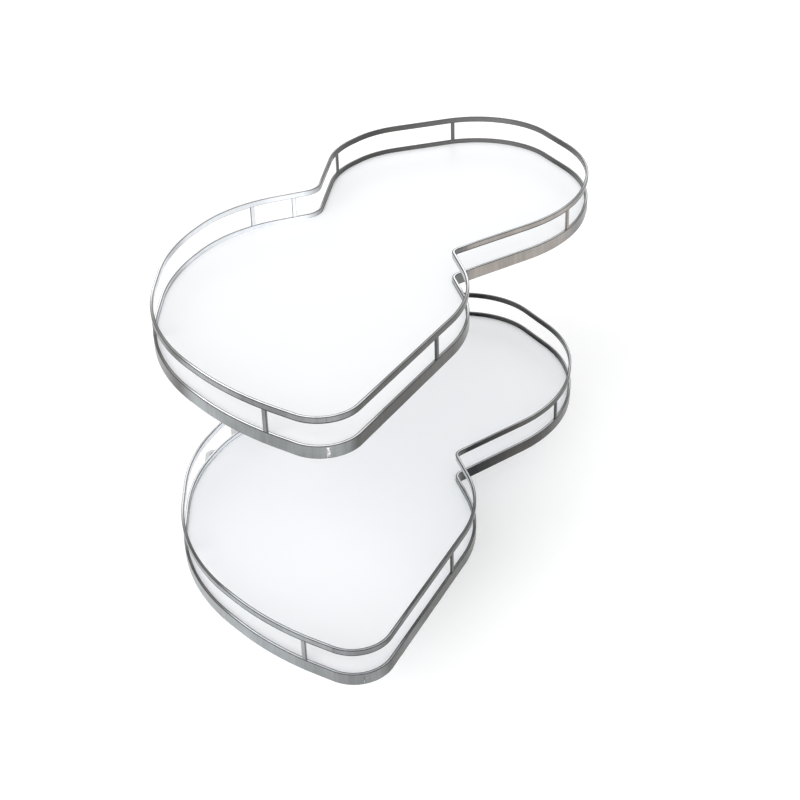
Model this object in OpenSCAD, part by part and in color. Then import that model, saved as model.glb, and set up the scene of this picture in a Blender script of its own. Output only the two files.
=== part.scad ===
// Two-tier swing-out corner unit: two waisted trays on double-hinged arms that turn on one post.
// Origin: centre of the post, on the cabinet floor. +Z is up, and the trays stand swung out to -Y.

/* [Trays] */
// Length that the outline of a tray is drawn from
tray_length = 900; // [860:5:960]
// Height from the lower tray to the upper tray
tier_spacing = 325; // [290:5:420]
// Turn of the lower tray on its arm, against the upper tray, as the unit stands
lower_turn = 3.5; // [0:0.5:5]
// Thickness of a tray board
board_t = 8; // [7.5:0.5:13]

/* [Skirt and rail] */
// Height of the skirt round the board
skirt_h = 16; // [15.5:0.5:24]
// Thickness of the skirt and the rail
band_t = 4; // [3:0.5:5]
// Thickness of the ledge that the board rests on
lip_t = 2; // [1.5:0.5:3]
// Width of the ledge that the board rests on
lip_w = 9; // [6:1:14]
// Height of the rail
rail_h = 8; // [6:0.5:12]
// Clear height between the skirt and the rail
rail_gap = 29; // [24:1:40]
// Width of a spacer between the skirt and the rail
spacer_w = 6; // [4:0.5:8]
// Thickness of a spacer between the skirt and the rail
spacer_t = 3; // [2:0.5:4]

/* [Post and foot] */
// Outside diameter of the post
post_d = 38; // [34:1:40]
// Wall of the post tube
post_wall = 2.5; // [2:0.25:4]
// Length of the floor plate, along X
foot_l = 150; // [130:5:180]
// Width of the floor plate, along Y
foot_w = 80; // [74:2:82]
// Thickness of the floor plate
foot_t = 6; // [5:0.5:10]
// Corner radius of the floor plate
foot_r = 12; // [6:1:18]
// Distance between screw holes along the floor plate
foot_hole_l = 124; // [110:2:124]
// Distance between screw holes across the floor plate
foot_hole_w = 54; // [48:2:56]
// Diameter of the screw holes in the floor plate
foot_hole_d = 6.5; // [5:0.5:8]
// Height of the spigot that the post stands on
spigot_h = 40; // [30:2:60]
// Thickness of the post cap's disc
cap_t = 4; // [3:0.5:4.5]
// Length of the post cap's plug
cap_plug_h = 14; // [8:1:24]

/* [Arms] */
// Length of a swing arm, from the post to the tray pivot
arm_length = 272; // [262:2:290]
// Height of a swing arm's bar
arm_h = 14; // [10:1:18]
// Width of a swing arm's bar at the post
arm_w = 40; // [34:1:46]
// Width of a swing arm's bar at the tray pivot
arm_tip_w = 32; // [26:1:40]
// Wall of the hub, outside its bushes
hub_wall = 5; // [4:0.5:8]
// Height of the hub between the flanges of its bushes
hub_h = 46; // [36:2:60]
// Height that the hub stands above the bar
hub_step = 1; // [0.5:0.5:3]
// Wall of the bushes
bush_wall = 3; // [2:0.5:4]
// Thickness of the flanges of the bushes
flange_t = 2; // [1.5:0.5:3]
// Length of an arm bush inside its flange
arm_bush_h = 16; // [10:1:17]
// Diameter of the boss at the arm's end
boss_d = 50; // [44:1:56]

/* [Tray pivot] */
// Height of the tray's underside above the arm's upper bush
tray_lift = 42; // [40:1:60]
// Diameter of the pivot pin
pin_d = 20; // [16:1:22]
// Diameter of the groove that the retaining clip sits in
groove_d = 16; // [13:0.5:16]
// Thickness of the retaining clip
clip_t = 1.2; // [1:0.1:1.5]
// Outside diameter of the retaining clip
clip_d = 25; // [24:0.5:26]
// Length of the pivot pin above the clip's groove
pin_tip_h = 2.4; // [1.5:0.1:4]
// Wall of the pivot housing
housing_wall = 6; // [5:0.5:8]
// Room for the clip in the housing, above the pivot bush
housing_room = 10; // [8:0.5:14]
// Diameter of the stop pin
stop_d = 8; // [6:0.5:9]
// Distance of the stop pin from the tray pivot
stop_r = 62; // [56:1:66]

/* [Carrier] */
// Thickness of the carrier plate
carrier_t = 4; // [3:0.5:5]
// Diameter of the carrier's middle disc
carrier_d = 176; // [166:2:196]
// Length of the carrier's long bar
carrier_l = 460; // [400:10:520]
// Width of the carrier's bars
carrier_w = 54; // [44:2:66]
// Length of the carrier's cross bar
carrier_cross = 250; // [230:10:260]
// Distance of a screw from the end of its bar
screw_edge = 16; // [12:1:22]
// Diameter of a carrier screw
screw_d = 4.5; // [3.5:0.5:6]
// Diameter of a carrier screw's head
screw_head_d = 9; // [8:0.5:12]
// Height of a carrier screw's head
screw_head_h = 3; // [2:0.5:4]
// Depth that a carrier screw goes into the board
screw_bite = 6.5; // [5:0.5:7]

/* [Collars and bracket] */
// Wall of the collars on the post
collar_wall = 8; // [7:0.5:10]
// Height of a support collar
collar_h = 12; // [10:0.5:16]
// Height of the keeper ring
keeper_h = 10; // [9:0.5:14]
// Diameter of a clamp screw
clamp_d = 6; // [5:0.5:7]
// Height of a stop lug above its collar
lug_h = 12; // [10:1:16]
// Reach of a stop lug from the hub
lug_reach = 10; // [9:0.5:12]
// Angle that a stop lug takes up round the post
lug_angle = 16; // [14:1:20]
// Diameter of a rubber buffer
buffer_d = 7; // [5:0.5:8]
// Thickness of a rubber buffer
buffer_t = 2; // [1:0.5:3]
// Height of the wall bracket's flange and ring
bracket_h = 60; // [46:2:70]
// Height of the wall bracket's middle above the floor
bracket_z = 252; // [245:1:256]
// Distance of the wall bracket's panel face from the post's centre
bracket_reach = 42; // [38:1:56]
// Width of the wall bracket's flange
bracket_w = 100; // [98:2:120]
// Thickness of the wall bracket's flange
bracket_t = 5; // [4:0.5:8]
// Height of the bracket's neck, between its ring and its flange
bracket_neck_h = 24; // [16:2:40]
// Distance between the bracket's holes across
bracket_hole_w = 30; // [26:1:32]
// Distance between the bracket's holes upwards
bracket_hole_h = 36; // [24:2:40]
// Diameter of the bracket's holes
bracket_hole_d = 5.5; // [4:0.5:7]
// Distance of the bracket's outer holes from the flange's end
bracket_hole_edge = 14; // [10:1:15]

/* [Hidden] */
$fn = 96;

// Facets of the large arcs of the outline
fine = 240;
// Clearance of a running fit, on the radius
run_gap = 0.05;
// Clearance of a seated fit, on the radius
seat_gap = 0.05;
// Clearance between faces that slide over each other
face_gap = 0.2;
// Clearance of the stop pin in its slot, on the radius
slot_gap = 0.3;
// How far a cut runs past what it cuts
over = 1;
// How far a corner's disc reaches into the polygon that it rounds
overlap_w = 4;
// How far a round end stands past the lines or arcs beside it, so that it crosses them
bulge = 0.03;
// Direction of a swing arm as the unit stands
arm_rest = -49;
// Swing of an arm, from out to stowed
arm_swing = 150;
// Turn of a tray on its arm towards stowed
tray_turn_in = 36;
// Turn of a tray on its arm past the way it stands
tray_turn_out = 6;
// Directions of the carrier's bars on the tray
carrier_angle = 75;
cross_angle = 135;
// Direction of a stop lug on the hub, counted from the arm
hub_lug_angle = 118;
// Directions of the clamp screws on the collars and on the bracket
collar_screw_angle = 150;
bracket_screw_angle = 60;

// Outline of a tray round its pivot, counter-clockwise from its near tip, one line a corner:
// place along X, place along Y and radius, as shares of tray_length; -1 marks a hollow corner
outline_shares = [
    [-0.033, -0.496, 0.057, 1],
    [0.171, -0.177, 0.207, 1],
    [0.148, -0.040, 0.014, -1],
    [0.351, 0.084, 0.255, 1],
    [0.406, 0.273, 0.230, 1],
    [0.300, 0.520, 0.142, 1],
    [0.048, 0.456, 0.140, 1],
    [-0.022, 0.379, 0.165, 1],
    [-0.051, 0.210, 0.032, -1],
    [-0.196, 0.161, 0.212, 1],
    [-0.278, 0.013, 0.320, 1],
    [-0.291, -0.229, 0.344, 1],
    [-0.163, -0.402, 0.469, 1],
];
// Places of the spacers: corner that they follow, then the share of its arc, or 1 and more for
// the share of the straight run after it
spacer_shares = [
    [0, 1.83], [3, 0.51], [5, 0.95], [7, 0.56], [8, 1.41], [9, 0.26], [11, 0.28], [12, 0.87],
];

// Post and fits
post_r = post_d / 2;
post_bore_r = post_r - post_wall;
bush_bore_r = post_r + run_gap;
bush_r = bush_bore_r + bush_wall;
hub_bore_r = bush_r + seat_gap;
hub_r = hub_bore_r + hub_wall;
collar_r = post_r + collar_wall;
pin_r = pin_d / 2;
pivot_bush_r = pin_r + run_gap + bush_wall;
housing_bore_r = pivot_bush_r + seat_gap;
housing_r = housing_bore_r + housing_wall;

// Heights, worked up from the cabinet floor
collar_z = foot_t;
hub_z = collar_h + face_gap + flange_t;
arm_top = hub_z + hub_h;
bar_top = arm_top - hub_step;
skirt_z = arm_top + flange_t + tray_lift;
lower_z = collar_z;
upper_z = collar_z + tier_spacing;
board_z = lip_t;
rail_z = skirt_h + rail_gap;
post_top = upper_z + arm_top + flange_t + face_gap;

// Points of the tray pivot
pivot_x = arm_length * cos(arm_rest);
pivot_y = arm_length * sin(arm_rest);

// Vector helpers for the outline
function unit(v) = v / norm(v);
function corner(i) = let (s = outline_shares[i]) [s[0], s[1]] * tray_length;
function corner_r(i) = outline_shares[i][2] * tray_length;
function hollow(i) = outline_shares[i][3] < 0;
function corners() = len(outline_shares);
function before(i) = (i + corners() - 1) % corners();
function after(i) = (i + 1) % corners();
function way_in(i) = unit(corner(before(i)) - corner(i));
function way_out(i) = unit(corner(after(i)) - corner(i));
function half_angle(i) = acos(way_in(i) * way_out(i)) / 2;
function run(i) = corner_r(i) / tan(half_angle(i));
function centre(i) = corner(i) + unit(way_in(i) + way_out(i)) * corner_r(i) / sin(half_angle(i));
// Radius of a corner when the outline is drawn in by an inset
function inset_r(i, inset) = hollow(i) ? corner_r(i) + inset : corner_r(i) - inset;
// Directions from a corner's centre to the start and the end of its arc
function angle_of(v) = atan2(v[1], v[0]);
function turn_to(a, b) = (b - a + 540) % 360 - 180;
function touch_way(i, way) = angle_of(corner(i) + way * run(i) - centre(i));
function start_way(i) = touch_way(i, way_in(i));
function end_way(i) = start_way(i) + turn_to(start_way(i), touch_way(i, way_out(i)));
function polar(i, r, way) = centre(i) + r * [cos(way), sin(way)];

// A place on the outline and the outward direction there, as [point, angle]
function place(i, share) = share <= 1
    ? let (way = start_way(i) * (1 - share) + end_way(i) * share) [polar(i, corner_r(i), way), way]
    : [polar(i, corner_r(i), end_way(i)) * (2 - share)
       + polar(after(i), corner_r(after(i)), start_way(after(i))) * (share - 1),
       angle_of(way_out(i)) - 90];

// Outline of a tray, drawn in by an inset, with true arcs at its corners
module outline(inset) {
    difference() {
        union() {
            polygon([for (i = [0 : corners() - 1]) for (way = [start_way(i), end_way(i)])
                polar(i, inset_r(i, inset), way)]);
            for (i = [0 : corners() - 1]) if (!hollow(i)) rounding(i, inset_r(i, inset));
        }
        for (i = [0 : corners() - 1]) if (hollow(i))
            translate(centre(i)) circle(r = inset_r(i, inset) + bulge, $fn = fine);
    }
}

// Piece of a corner's disc round its arc, which dips into the straight run at each end
module rounding(i, r) {
    dip_share = 1.6;
    dip = acos(r / (r + bulge)) * dip_share;
    first = start_way(i) - dip;
    last = end_way(i) + dip;
    intersection() {
        translate(centre(i)) circle(r = r + bulge, $fn = fine);
        polygon([polar(i, r - overlap_w, first), polar(i, r + overlap_w, first),
                 polar(i, (r + overlap_w) / cos((last - first) / 2), (first + last) / 2),
                 polar(i, r + overlap_w, last), polar(i, r - overlap_w, last)]);
    }
}

// Upright ring between two radii
module ring(r_out, r_in, h) {
    difference() {
        cylinder(r = r_out, h = h);
        translate([0, 0, -over]) cylinder(r = r_in, h = h + 2 * over);
    }
}

// Wedge of a ring, centred on the X axis
module ring_wedge(r_out, r_in, h, angle) {
    reach = r_out / cos(angle / 2) + over;
    intersection() {
        ring(r_out, r_in, h);
        translate([0, 0, -over]) linear_extrude(h + 2 * over)
            polygon([[0, 0], reach * [cos(angle / 2), -sin(angle / 2)],
                     reach * [cos(angle / 2), sin(angle / 2)]]);
    }
}

// Place of one tier: its collar's underside
module tier(z) {
    translate([0, 0, z]) children();
}

// Place and turn of a tray: its skirt's underside, at the tray pivot
module on_arm(z, turn) {
    translate([pivot_x, pivot_y, z + skirt_z]) rotate([0, 0, turn]) children();
}

// Foot, post and cap

module floor_plate() {
    color("silver") difference() {
        union() {
            linear_extrude(foot_t) rounded_plate(foot_l, foot_w, foot_r);
            cylinder(r = post_bore_r - seat_gap, h = foot_t + spigot_h);
        }
        for (x = [-1, 1], y = [-1, 1])
            translate([x * foot_hole_l / 2, y * foot_hole_w / 2, -over])
                cylinder(d = foot_hole_d, h = foot_t + 2 * over);
    }
}

// Plate with round corners, drawn flat
module rounded_plate(l, w, r) {
    square([l - 2 * r, w], center = true);
    square([l, w - 2 * r], center = true);
    for (x = [-1, 1], y = [-1, 1]) translate([x * (l / 2 - r), y * (w / 2 - r)]) circle(r = r);
}

module post() {
    color("gainsboro") translate([0, 0, foot_t])
        ring(post_r, post_bore_r, post_top - foot_t);
}

module post_cap() {
    color("dimgray") {
        translate([0, 0, post_top]) cylinder(r = hub_bore_r, h = cap_t);
        translate([0, 0, post_top - cap_plug_h])
            cylinder(r = post_bore_r - seat_gap, h = cap_plug_h + cap_t / 2);
    }
}

// Bracket that holds the post to a cabinet panel in front of it
module wall_bracket() {
    color("silver") translate([0, 0, bracket_z]) difference() {
        union() {
            translate([0, 0, -bracket_h / 2]) cylinder(r = collar_r, h = bracket_h);
            translate([post_r - bracket_w, -bracket_reach, -bracket_h / 2])
                cube([bracket_w, bracket_t, bracket_h]);
            translate([-post_r, -bracket_reach, -bracket_neck_h / 2])
                cube([post_d, bracket_reach, bracket_neck_h]);
        }
        translate([0, 0, -bracket_h / 2 - over])
            cylinder(r = post_r + seat_gap, h = bracket_h + 2 * over);
        for (n = [0, 1], z = [-1, 1])
            translate([bracket_hole_x(n), -bracket_reach - over, z * bracket_hole_h / 2])
                rotate([-90, 0, 0]) cylinder(d = bracket_hole_d, h = bracket_t + 2 * over);
        clamp_hole(bracket_screw_angle);
    }
}
// Places of the bracket's holes along X, counted from the free end of its flange
function bracket_hole_x(n) = post_r - bracket_w + bracket_hole_edge + n * bracket_hole_w;

// Hole through a collar's wall for a clamp screw
module clamp_hole(way) {
    rotate([0, 90, way]) cylinder(d = clamp_d + 2 * seat_gap, h = collar_r + over);
}

// Clamp screw in a collar's wall, its tip against the post
module clamp_screw(way) {
    rotate([0, 90, way]) translate([0, 0, post_r + face_gap])
        cylinder(d = clamp_d, h = collar_wall - 2 * face_gap);
}

module clamp_screws() {
    color("dimgray") {
        for (z = [lower_z, upper_z]) translate([0, 0, z + collar_h / 2])
            clamp_screw(collar_screw_angle);
        translate([0, 0, keeper_z() + keeper_h / 2]) clamp_screw(collar_screw_angle);
        translate([0, 0, bracket_z]) clamp_screw(bracket_screw_angle);
    }
}
function keeper_z() = lower_z + arm_top + flange_t + face_gap;

// Collar that carries an arm, with a stop lug at each end of the arm's swing
module collar(z) {
    color("silver") tier(z) difference() {
        union() {
            ring(collar_r, post_r + seat_gap, collar_h);
            for (way = [lug_way_out(), lug_way_in()]) rotate([0, 0, way]) {
                ring_wedge(hub_r + lug_reach, post_r + collar_wall / 2, collar_h, lug_angle);
                ring_wedge(hub_r + lug_reach, hub_r + face_gap, collar_h + lug_h, lug_angle);
            }
        }
        translate([0, 0, collar_h / 2]) clamp_hole(collar_screw_angle);
    }
}
// Directions of the collar's stop lugs: one where the arm stands out, one where it is stowed
lug_mid_r = hub_r + lug_reach / 2;
function buffer_angle() = asin((buffer_t + face_gap) / (lug_mid_r - buffer_d / 2));
function lug_way_out() = arm_rest + hub_lug_angle - lug_angle - buffer_angle();
function lug_way_in() = arm_rest + hub_lug_angle + arm_swing + lug_angle + buffer_angle();

module collar_lower() { collar(lower_z); }
module collar_upper() { collar(upper_z); }

module keeper_ring() {
    color("silver") translate([0, 0, keeper_z()]) difference() {
        ring(collar_r, post_r + seat_gap, keeper_h);
        translate([0, 0, keeper_h / 2]) clamp_hole(collar_screw_angle);
    }
}

// Rubber buffers on the stop lugs, on the sides that the hub's lug meets
module stop_buffers() {
    color("black") for (z = [lower_z, upper_z]) tier(z) {
        rotate([0, 0, lug_way_out() + lug_angle / 2]) buffer(-1);
        rotate([0, 0, lug_way_in() - lug_angle / 2]) buffer(1);
    }
}

// One buffer, standing on the lug face that lies in the plane of X and Z
module buffer(side) {
    translate([lug_mid_r, 0, collar_h + lug_h / 2]) rotate([side * 90, 0, 0])
        cylinder(d = buffer_d, h = buffer_t);
}

// Swing arm: hub, bar, end boss and the lug that meets the collar's stops

module arm(z) {
    color("lightgray") tier(z) difference() {
        union() {
            translate([0, 0, hub_z]) cylinder(r = hub_r, h = hub_h);
            rotate([0, 0, arm_rest]) {
                translate([0, 0, bar_top - arm_h]) linear_extrude(arm_h) {
                    polygon([[0, -arm_w / 2], [arm_length, -arm_tip_w / 2],
                             [arm_length, arm_tip_w / 2], [0, arm_w / 2]]);
                    translate([arm_length, 0]) circle(d = boss_d);
                }
                arm_rib();
                rotate([0, 0, hub_lug_angle]) translate([0, 0, hub_z])
                    ring_wedge(hub_r + lug_reach, hub_bore_r + hub_wall / 2, lug_h, lug_angle);
            }
        }
        translate([0, 0, hub_z - over]) cylinder(r = hub_bore_r, h = hub_h + 2 * over);
        rotate([0, 0, arm_rest]) {
            translate([arm_length, 0, bar_top - arm_h - over])
                cylinder(r = pin_r + seat_gap, h = arm_h + 2 * over);
            translate([arm_length - stop_r, 0, bar_top - arm_h - over])
                cylinder(d = stop_d + 2 * seat_gap, h = arm_h + 2 * over);
        }
    }
}

// Web under the bar, deepest at the hub, which reaches up into the bar
module arm_rib() {
    length_share = 0.55;
    start = hub_bore_r + hub_wall / 2;
    length = arm_length * length_share - start;
    depth = hub_h - hub_step - arm_h - lug_h;
    rise = arm_h / 2;
    translate([0, arm_h / 4, bar_top - arm_h]) rotate([90, 0, 0]) linear_extrude(arm_h / 2)
        polygon([[start, -depth], [start + length * (1 + rise / depth), rise], [start, rise]]);
}

module arm_lower() { arm(lower_z); }
module arm_upper() { arm(upper_z); }

// Two flanged bushes in a hub
module arm_bushes(z) {
    color("ivory") tier(z) {
        translate([0, 0, hub_z - flange_t]) arm_bush();
        translate([0, 0, arm_top + flange_t]) mirror([0, 0, 1]) arm_bush();
    }
}

module arm_bush() {
    difference() {
        union() {
            cylinder(r = hub_r - face_gap, h = flange_t);
            cylinder(r = bush_r, h = flange_t + arm_bush_h);
        }
        translate([0, 0, -over]) cylinder(r = bush_bore_r, h = flange_t + arm_bush_h + 2 * over);
    }
}

module arm_bushes_lower() { arm_bushes(lower_z); }
module arm_bushes_upper() { arm_bushes(upper_z); }

// Heights of the tray pivot, counted from the skirt's underside
housing_z = bar_top - skirt_z + face_gap + flange_t;
carrier_z = lip_t - carrier_t;
bush_top = carrier_z - housing_room;
clip_z = bush_top + face_gap;
groove_top = clip_z + clip_t + face_gap;

// Pin fixed in the arm's end boss, with a groove for its clip
module pivot_pin(z) {
    color("silver") on_arm(z, 0) difference() {
        translate([0, 0, bar_top - arm_h - skirt_z])
            cylinder(r = pin_r, h = groove_top + pin_tip_h - bar_top + arm_h + skirt_z);
        translate([0, 0, clip_z]) ring(pin_r + over, groove_d / 2, groove_top - clip_z);
    }
}
module pivot_pin_lower() { pivot_pin(lower_z); }
module pivot_pin_upper() { pivot_pin(upper_z); }

// Open clip in the pin's groove
module pin_clip(z) {
    color("dimgray") on_arm(z, arm_rest) translate([0, 0, clip_z + face_gap / 2]) difference() {
        ring(clip_d / 2, groove_d / 2 + seat_gap, clip_t);
        translate([0, -groove_d / 4, -over]) cube([clip_d, groove_d / 2, clip_t + 2 * over]);
    }
}
module pin_clip_lower() { pin_clip(lower_z); }
module pin_clip_upper() { pin_clip(upper_z); }

// Pin in the arm that runs in the carrier's slot
module stop_pin(z) {
    color("silver") on_arm(z, arm_rest)
        translate([-stop_r, 0, bar_top - arm_h - skirt_z])
            cylinder(d = stop_d, h = skirt_z - bar_top + arm_h + lip_t - carrier_t / 4);
}
module stop_pin_lower() { stop_pin(lower_z); }
module stop_pin_upper() { stop_pin(upper_z); }

// Carrier under a board: plate with two bars, pivot housing and slot

module carrier(z, turn) {
    color("silver") on_arm(z, turn) difference() {
        union() {
            translate([0, 0, carrier_z]) linear_extrude(carrier_t) carrier_plan();
            translate([0, 0, housing_z]) cylinder(r = housing_r, h = carrier_z - housing_z);
        }
        translate([0, 0, housing_z - over])
            cylinder(r = housing_bore_r, h = lip_t - housing_z + 2 * over);
        translate([0, 0, carrier_z - over]) linear_extrude(carrier_t + 2 * over) slot_plan();
        for (p = screw_places()) translate([p[0], p[1], carrier_z - over])
            cylinder(d = screw_d + 2 * seat_gap, h = carrier_t + 2 * over);
    }
}

// Length and direction of the carrier's bars
bars = [[carrier_l, carrier_angle], [carrier_cross, cross_angle]];

// Plate of the carrier, drawn flat: disc, long bar and cross bar with round ends
module carrier_plan() {
    circle(d = carrier_d);
    for (bar = bars) rotate(bar[1]) {
        square([bar[0] - carrier_w, carrier_w], center = true);
        for (x = [-1, 1]) translate([x * (bar[0] - carrier_w) / 2, 0]) circle(d = carrier_w);
    }
}

// Slot that the stop pin runs in: it spans the tray's turn, so the tray stops at its ends
module slot_plan() {
    half = stop_d / 2 + slot_gap;
    first = arm_rest + 180 - tray_turn_out;
    last = arm_rest + 180 + tray_turn_in;
    reach = (stop_r + half) / cos((last - first) / 2) + over;
    intersection() {
        difference() {
            circle(r = stop_r + half);
            circle(r = stop_r - half);
        }
        polygon([[0, 0], reach * [cos(first), sin(first)], reach * [cos(last), sin(last)]]);
    }
    for (a = [first, last]) rotate(a) translate([stop_r, 0]) circle(r = half + bulge);
}

// Places of the screws on a carrier: at the ends of its bars, and where the long bar leaves the disc
function screw_places() = [
    for (s = [-1, 1]) each [
        for (r = [carrier_l / 2 - screw_edge, carrier_d / 2])
            s * r * [cos(carrier_angle), sin(carrier_angle)],
        s * (carrier_cross / 2 - screw_edge) * [cos(cross_angle), sin(cross_angle)],
    ]
];

module carrier_lower() { carrier(lower_z, lower_turn); }
module carrier_upper() { carrier(upper_z, 0); }

// Flanged bush in the pivot housing
module pivot_bush(z, turn) {
    color("ivory") on_arm(z, turn) translate([0, 0, housing_z - flange_t]) difference() {
        union() {
            cylinder(r = housing_r, h = flange_t);
            cylinder(r = pivot_bush_r, h = flange_t + bush_top - housing_z);
        }
        translate([0, 0, -over])
            cylinder(r = pin_r + run_gap, h = flange_t + bush_top - housing_z + 2 * over);
    }
}
module pivot_bush_lower() { pivot_bush(lower_z, lower_turn); }
module pivot_bush_upper() { pivot_bush(upper_z, 0); }

module carrier_screws(z, turn) {
    color("gray") on_arm(z, turn) for (p = screw_places()) translate([p[0], p[1], carrier_z]) {
        translate([0, 0, -screw_head_h]) cylinder(d = screw_head_d, h = screw_head_h);
        cylinder(d = screw_d, h = carrier_t + screw_bite);
    }
}
module carrier_screws_lower() { carrier_screws(lower_z, lower_turn); }
module carrier_screws_upper() { carrier_screws(upper_z, 0); }

// Tray: board, skirt, rail and spacers

module board(z, turn) {
    color("white") on_arm(z, turn) translate([0, 0, board_z]) difference() {
        linear_extrude(board_t) outline(band_t + seat_gap);
        for (p = screw_places()) translate([p[0], p[1], -over])
            cylinder(d = screw_d + 2 * seat_gap, h = over + screw_bite + seat_gap);
    }
}
module board_lower() { board(lower_z, lower_turn); }
module board_upper() { board(upper_z, 0); }

module skirt(z, turn) {
    color("silver") on_arm(z, turn) {
        linear_extrude(skirt_h) band_plan(band_t);
        linear_extrude(lip_t) band_plan(band_t + lip_w);
    }
}

// Band between the outline and the outline drawn in by a width
module band_plan(w) {
    difference() {
        outline(0);
        outline(w);
    }
}
module skirt_lower() { skirt(lower_z, lower_turn); }
module skirt_upper() { skirt(upper_z, 0); }

module rail(z, turn) {
    color("silver") on_arm(z, turn) translate([0, 0, rail_z]) linear_extrude(rail_h)
        band_plan(band_t);
}
module rail_lower() { rail(lower_z, lower_turn); }
module rail_upper() { rail(upper_z, 0); }

// Flat pieces that stand on the skirt and carry the rail
module spacers(z, turn) {
    color("silver") on_arm(z, turn) for (s = spacer_shares) let (p = place(s[0], s[1]))
        translate([p[0][0], p[0][1], skirt_h]) rotate([0, 0, p[1]])
            translate([-(band_t + spacer_t) / 2, -spacer_w / 2, 0])
                cube([spacer_t, spacer_w, rail_gap]);
}
module spacers_lower() { spacers(lower_z, lower_turn); }
module spacers_upper() { spacers(upper_z, 0); }

floor_plate();
post();
post_cap();
wall_bracket();
clamp_screws();
stop_buffers();
collar_lower();
collar_upper();
keeper_ring();
arm_lower();
arm_bushes_lower();
pivot_pin_lower();
pin_clip_lower();
stop_pin_lower();
arm_upper();
arm_bushes_upper();
pivot_pin_upper();
pin_clip_upper();
stop_pin_upper();
carrier_lower();
pivot_bush_lower();
carrier_screws_lower();
board_lower();
skirt_lower();
rail_lower();
spacers_lower();
carrier_upper();
pivot_bush_upper();
carrier_screws_upper();
board_upper();
skirt_upper();
rail_upper();
spacers_upper();
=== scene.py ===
"""Looks of a two-tier swing-out corner unit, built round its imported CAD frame."""

import logging
import math
from collections.abc import Sequence
from dataclasses import dataclass, field
from enum import Enum
from functools import cache

import bpy
import numpy as np
from mathutils import Matrix, Vector


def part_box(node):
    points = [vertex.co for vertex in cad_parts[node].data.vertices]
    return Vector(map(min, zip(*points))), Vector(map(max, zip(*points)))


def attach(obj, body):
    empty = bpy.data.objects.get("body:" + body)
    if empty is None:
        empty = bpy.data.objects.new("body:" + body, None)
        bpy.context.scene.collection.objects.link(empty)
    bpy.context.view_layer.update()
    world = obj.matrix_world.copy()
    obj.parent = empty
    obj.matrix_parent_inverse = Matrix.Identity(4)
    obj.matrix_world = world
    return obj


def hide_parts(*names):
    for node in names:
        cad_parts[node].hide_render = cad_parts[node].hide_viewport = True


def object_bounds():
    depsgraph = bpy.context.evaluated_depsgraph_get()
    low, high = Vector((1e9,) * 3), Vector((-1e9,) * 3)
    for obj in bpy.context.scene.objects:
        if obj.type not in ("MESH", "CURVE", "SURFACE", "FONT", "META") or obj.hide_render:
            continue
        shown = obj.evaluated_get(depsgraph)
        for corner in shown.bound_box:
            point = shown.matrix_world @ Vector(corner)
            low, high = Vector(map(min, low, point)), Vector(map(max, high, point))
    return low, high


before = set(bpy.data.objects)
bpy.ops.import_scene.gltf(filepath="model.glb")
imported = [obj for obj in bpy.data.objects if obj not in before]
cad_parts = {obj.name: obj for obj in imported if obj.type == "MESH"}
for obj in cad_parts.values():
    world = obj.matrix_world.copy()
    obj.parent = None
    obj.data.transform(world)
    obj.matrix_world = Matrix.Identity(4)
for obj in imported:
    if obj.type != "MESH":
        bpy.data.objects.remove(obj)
CAD_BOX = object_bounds()
LOG = logging.getLogger("corner_unit")

# Angle past which an edge is sharp, and angle under which loose triangles are one flat face
SHARP = math.radians(30)
FLAT = math.radians(1)
# Distance under which two vertices are one
SAME = 1e-6
# Share of a normal past which its face looks that way, and under which it looks across it
STEEP = 0.99
LEVEL = 0.1
# Radius and height of a carrier screw's head
SCREW_HEAD = (0.0045, 0.003)
# Running clearance of a bush, its wall, the thickness of its flange and its rounding
RUN_GAP = 0.00005
BUSH_WALL = 0.003
FLANGE_T = 0.002
BUSH_EDGE = 0.0004
# Shares of a weld bead's size: how deep it is buried, where its face bends, how far it ripples
BEAD_BURIED, BEAD_NEAR, BEAD_FAR, BEAD_RIPPLE = 0.25, 0.35, 0.8, 0.12
# Faces of a weld bead along one ripple
RIPPLE_SIDES = 6
# Part of the noise over which a grain runs from dark to light
GRAIN_SPAN = (0.38, 0.62)
# How far a strip's grain goes above its tone, as a share of how far it goes below
GRAIN_LIFT = 0.7


class Body(Enum):
    """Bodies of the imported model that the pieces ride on."""

    BASE = "base"
    LOWER_ARM = "lower_arm"
    LOWER_TRAY = "lower_tray"
    UPPER_ARM = "upper_arm"
    UPPER_TRAY = "upper_tray"


class Tier(Enum):
    """The two tiers, with the names that their nodes end in."""

    LOWER = "lower"
    UPPER = "upper"

    def node(self, stem: str) -> str:
        """Name of this tier's CAD node with a stem."""
        return f"{stem}_{self.value}"

    def piece(self, stem: str) -> str:
        """Name of this tier's dressed piece with a stem."""
        return f"{self.value}_{stem}"

    @property
    def arm_body(self) -> Body:
        """Body of this tier's swing arm."""
        return Body.LOWER_ARM if self is Tier.LOWER else Body.UPPER_ARM

    @property
    def tray_body(self) -> Body:
        """Body of this tier's tray."""
        return Body.LOWER_TRAY if self is Tier.LOWER else Body.UPPER_TRAY


# Modelling steps


def deselect() -> None:
    """Leave edit mode and select nothing."""
    if bpy.context.object is not None and bpy.context.object.mode != "OBJECT":
        bpy.ops.object.mode_set(mode="OBJECT")
    bpy.ops.object.select_all(action="DESELECT")


def take(piece: bpy.types.Object) -> None:
    """Make one piece the only selected and active one.

    Args:
        piece: the piece.
    """
    deselect()
    piece.select_set(True)
    bpy.context.view_layer.objects.active = piece


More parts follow.
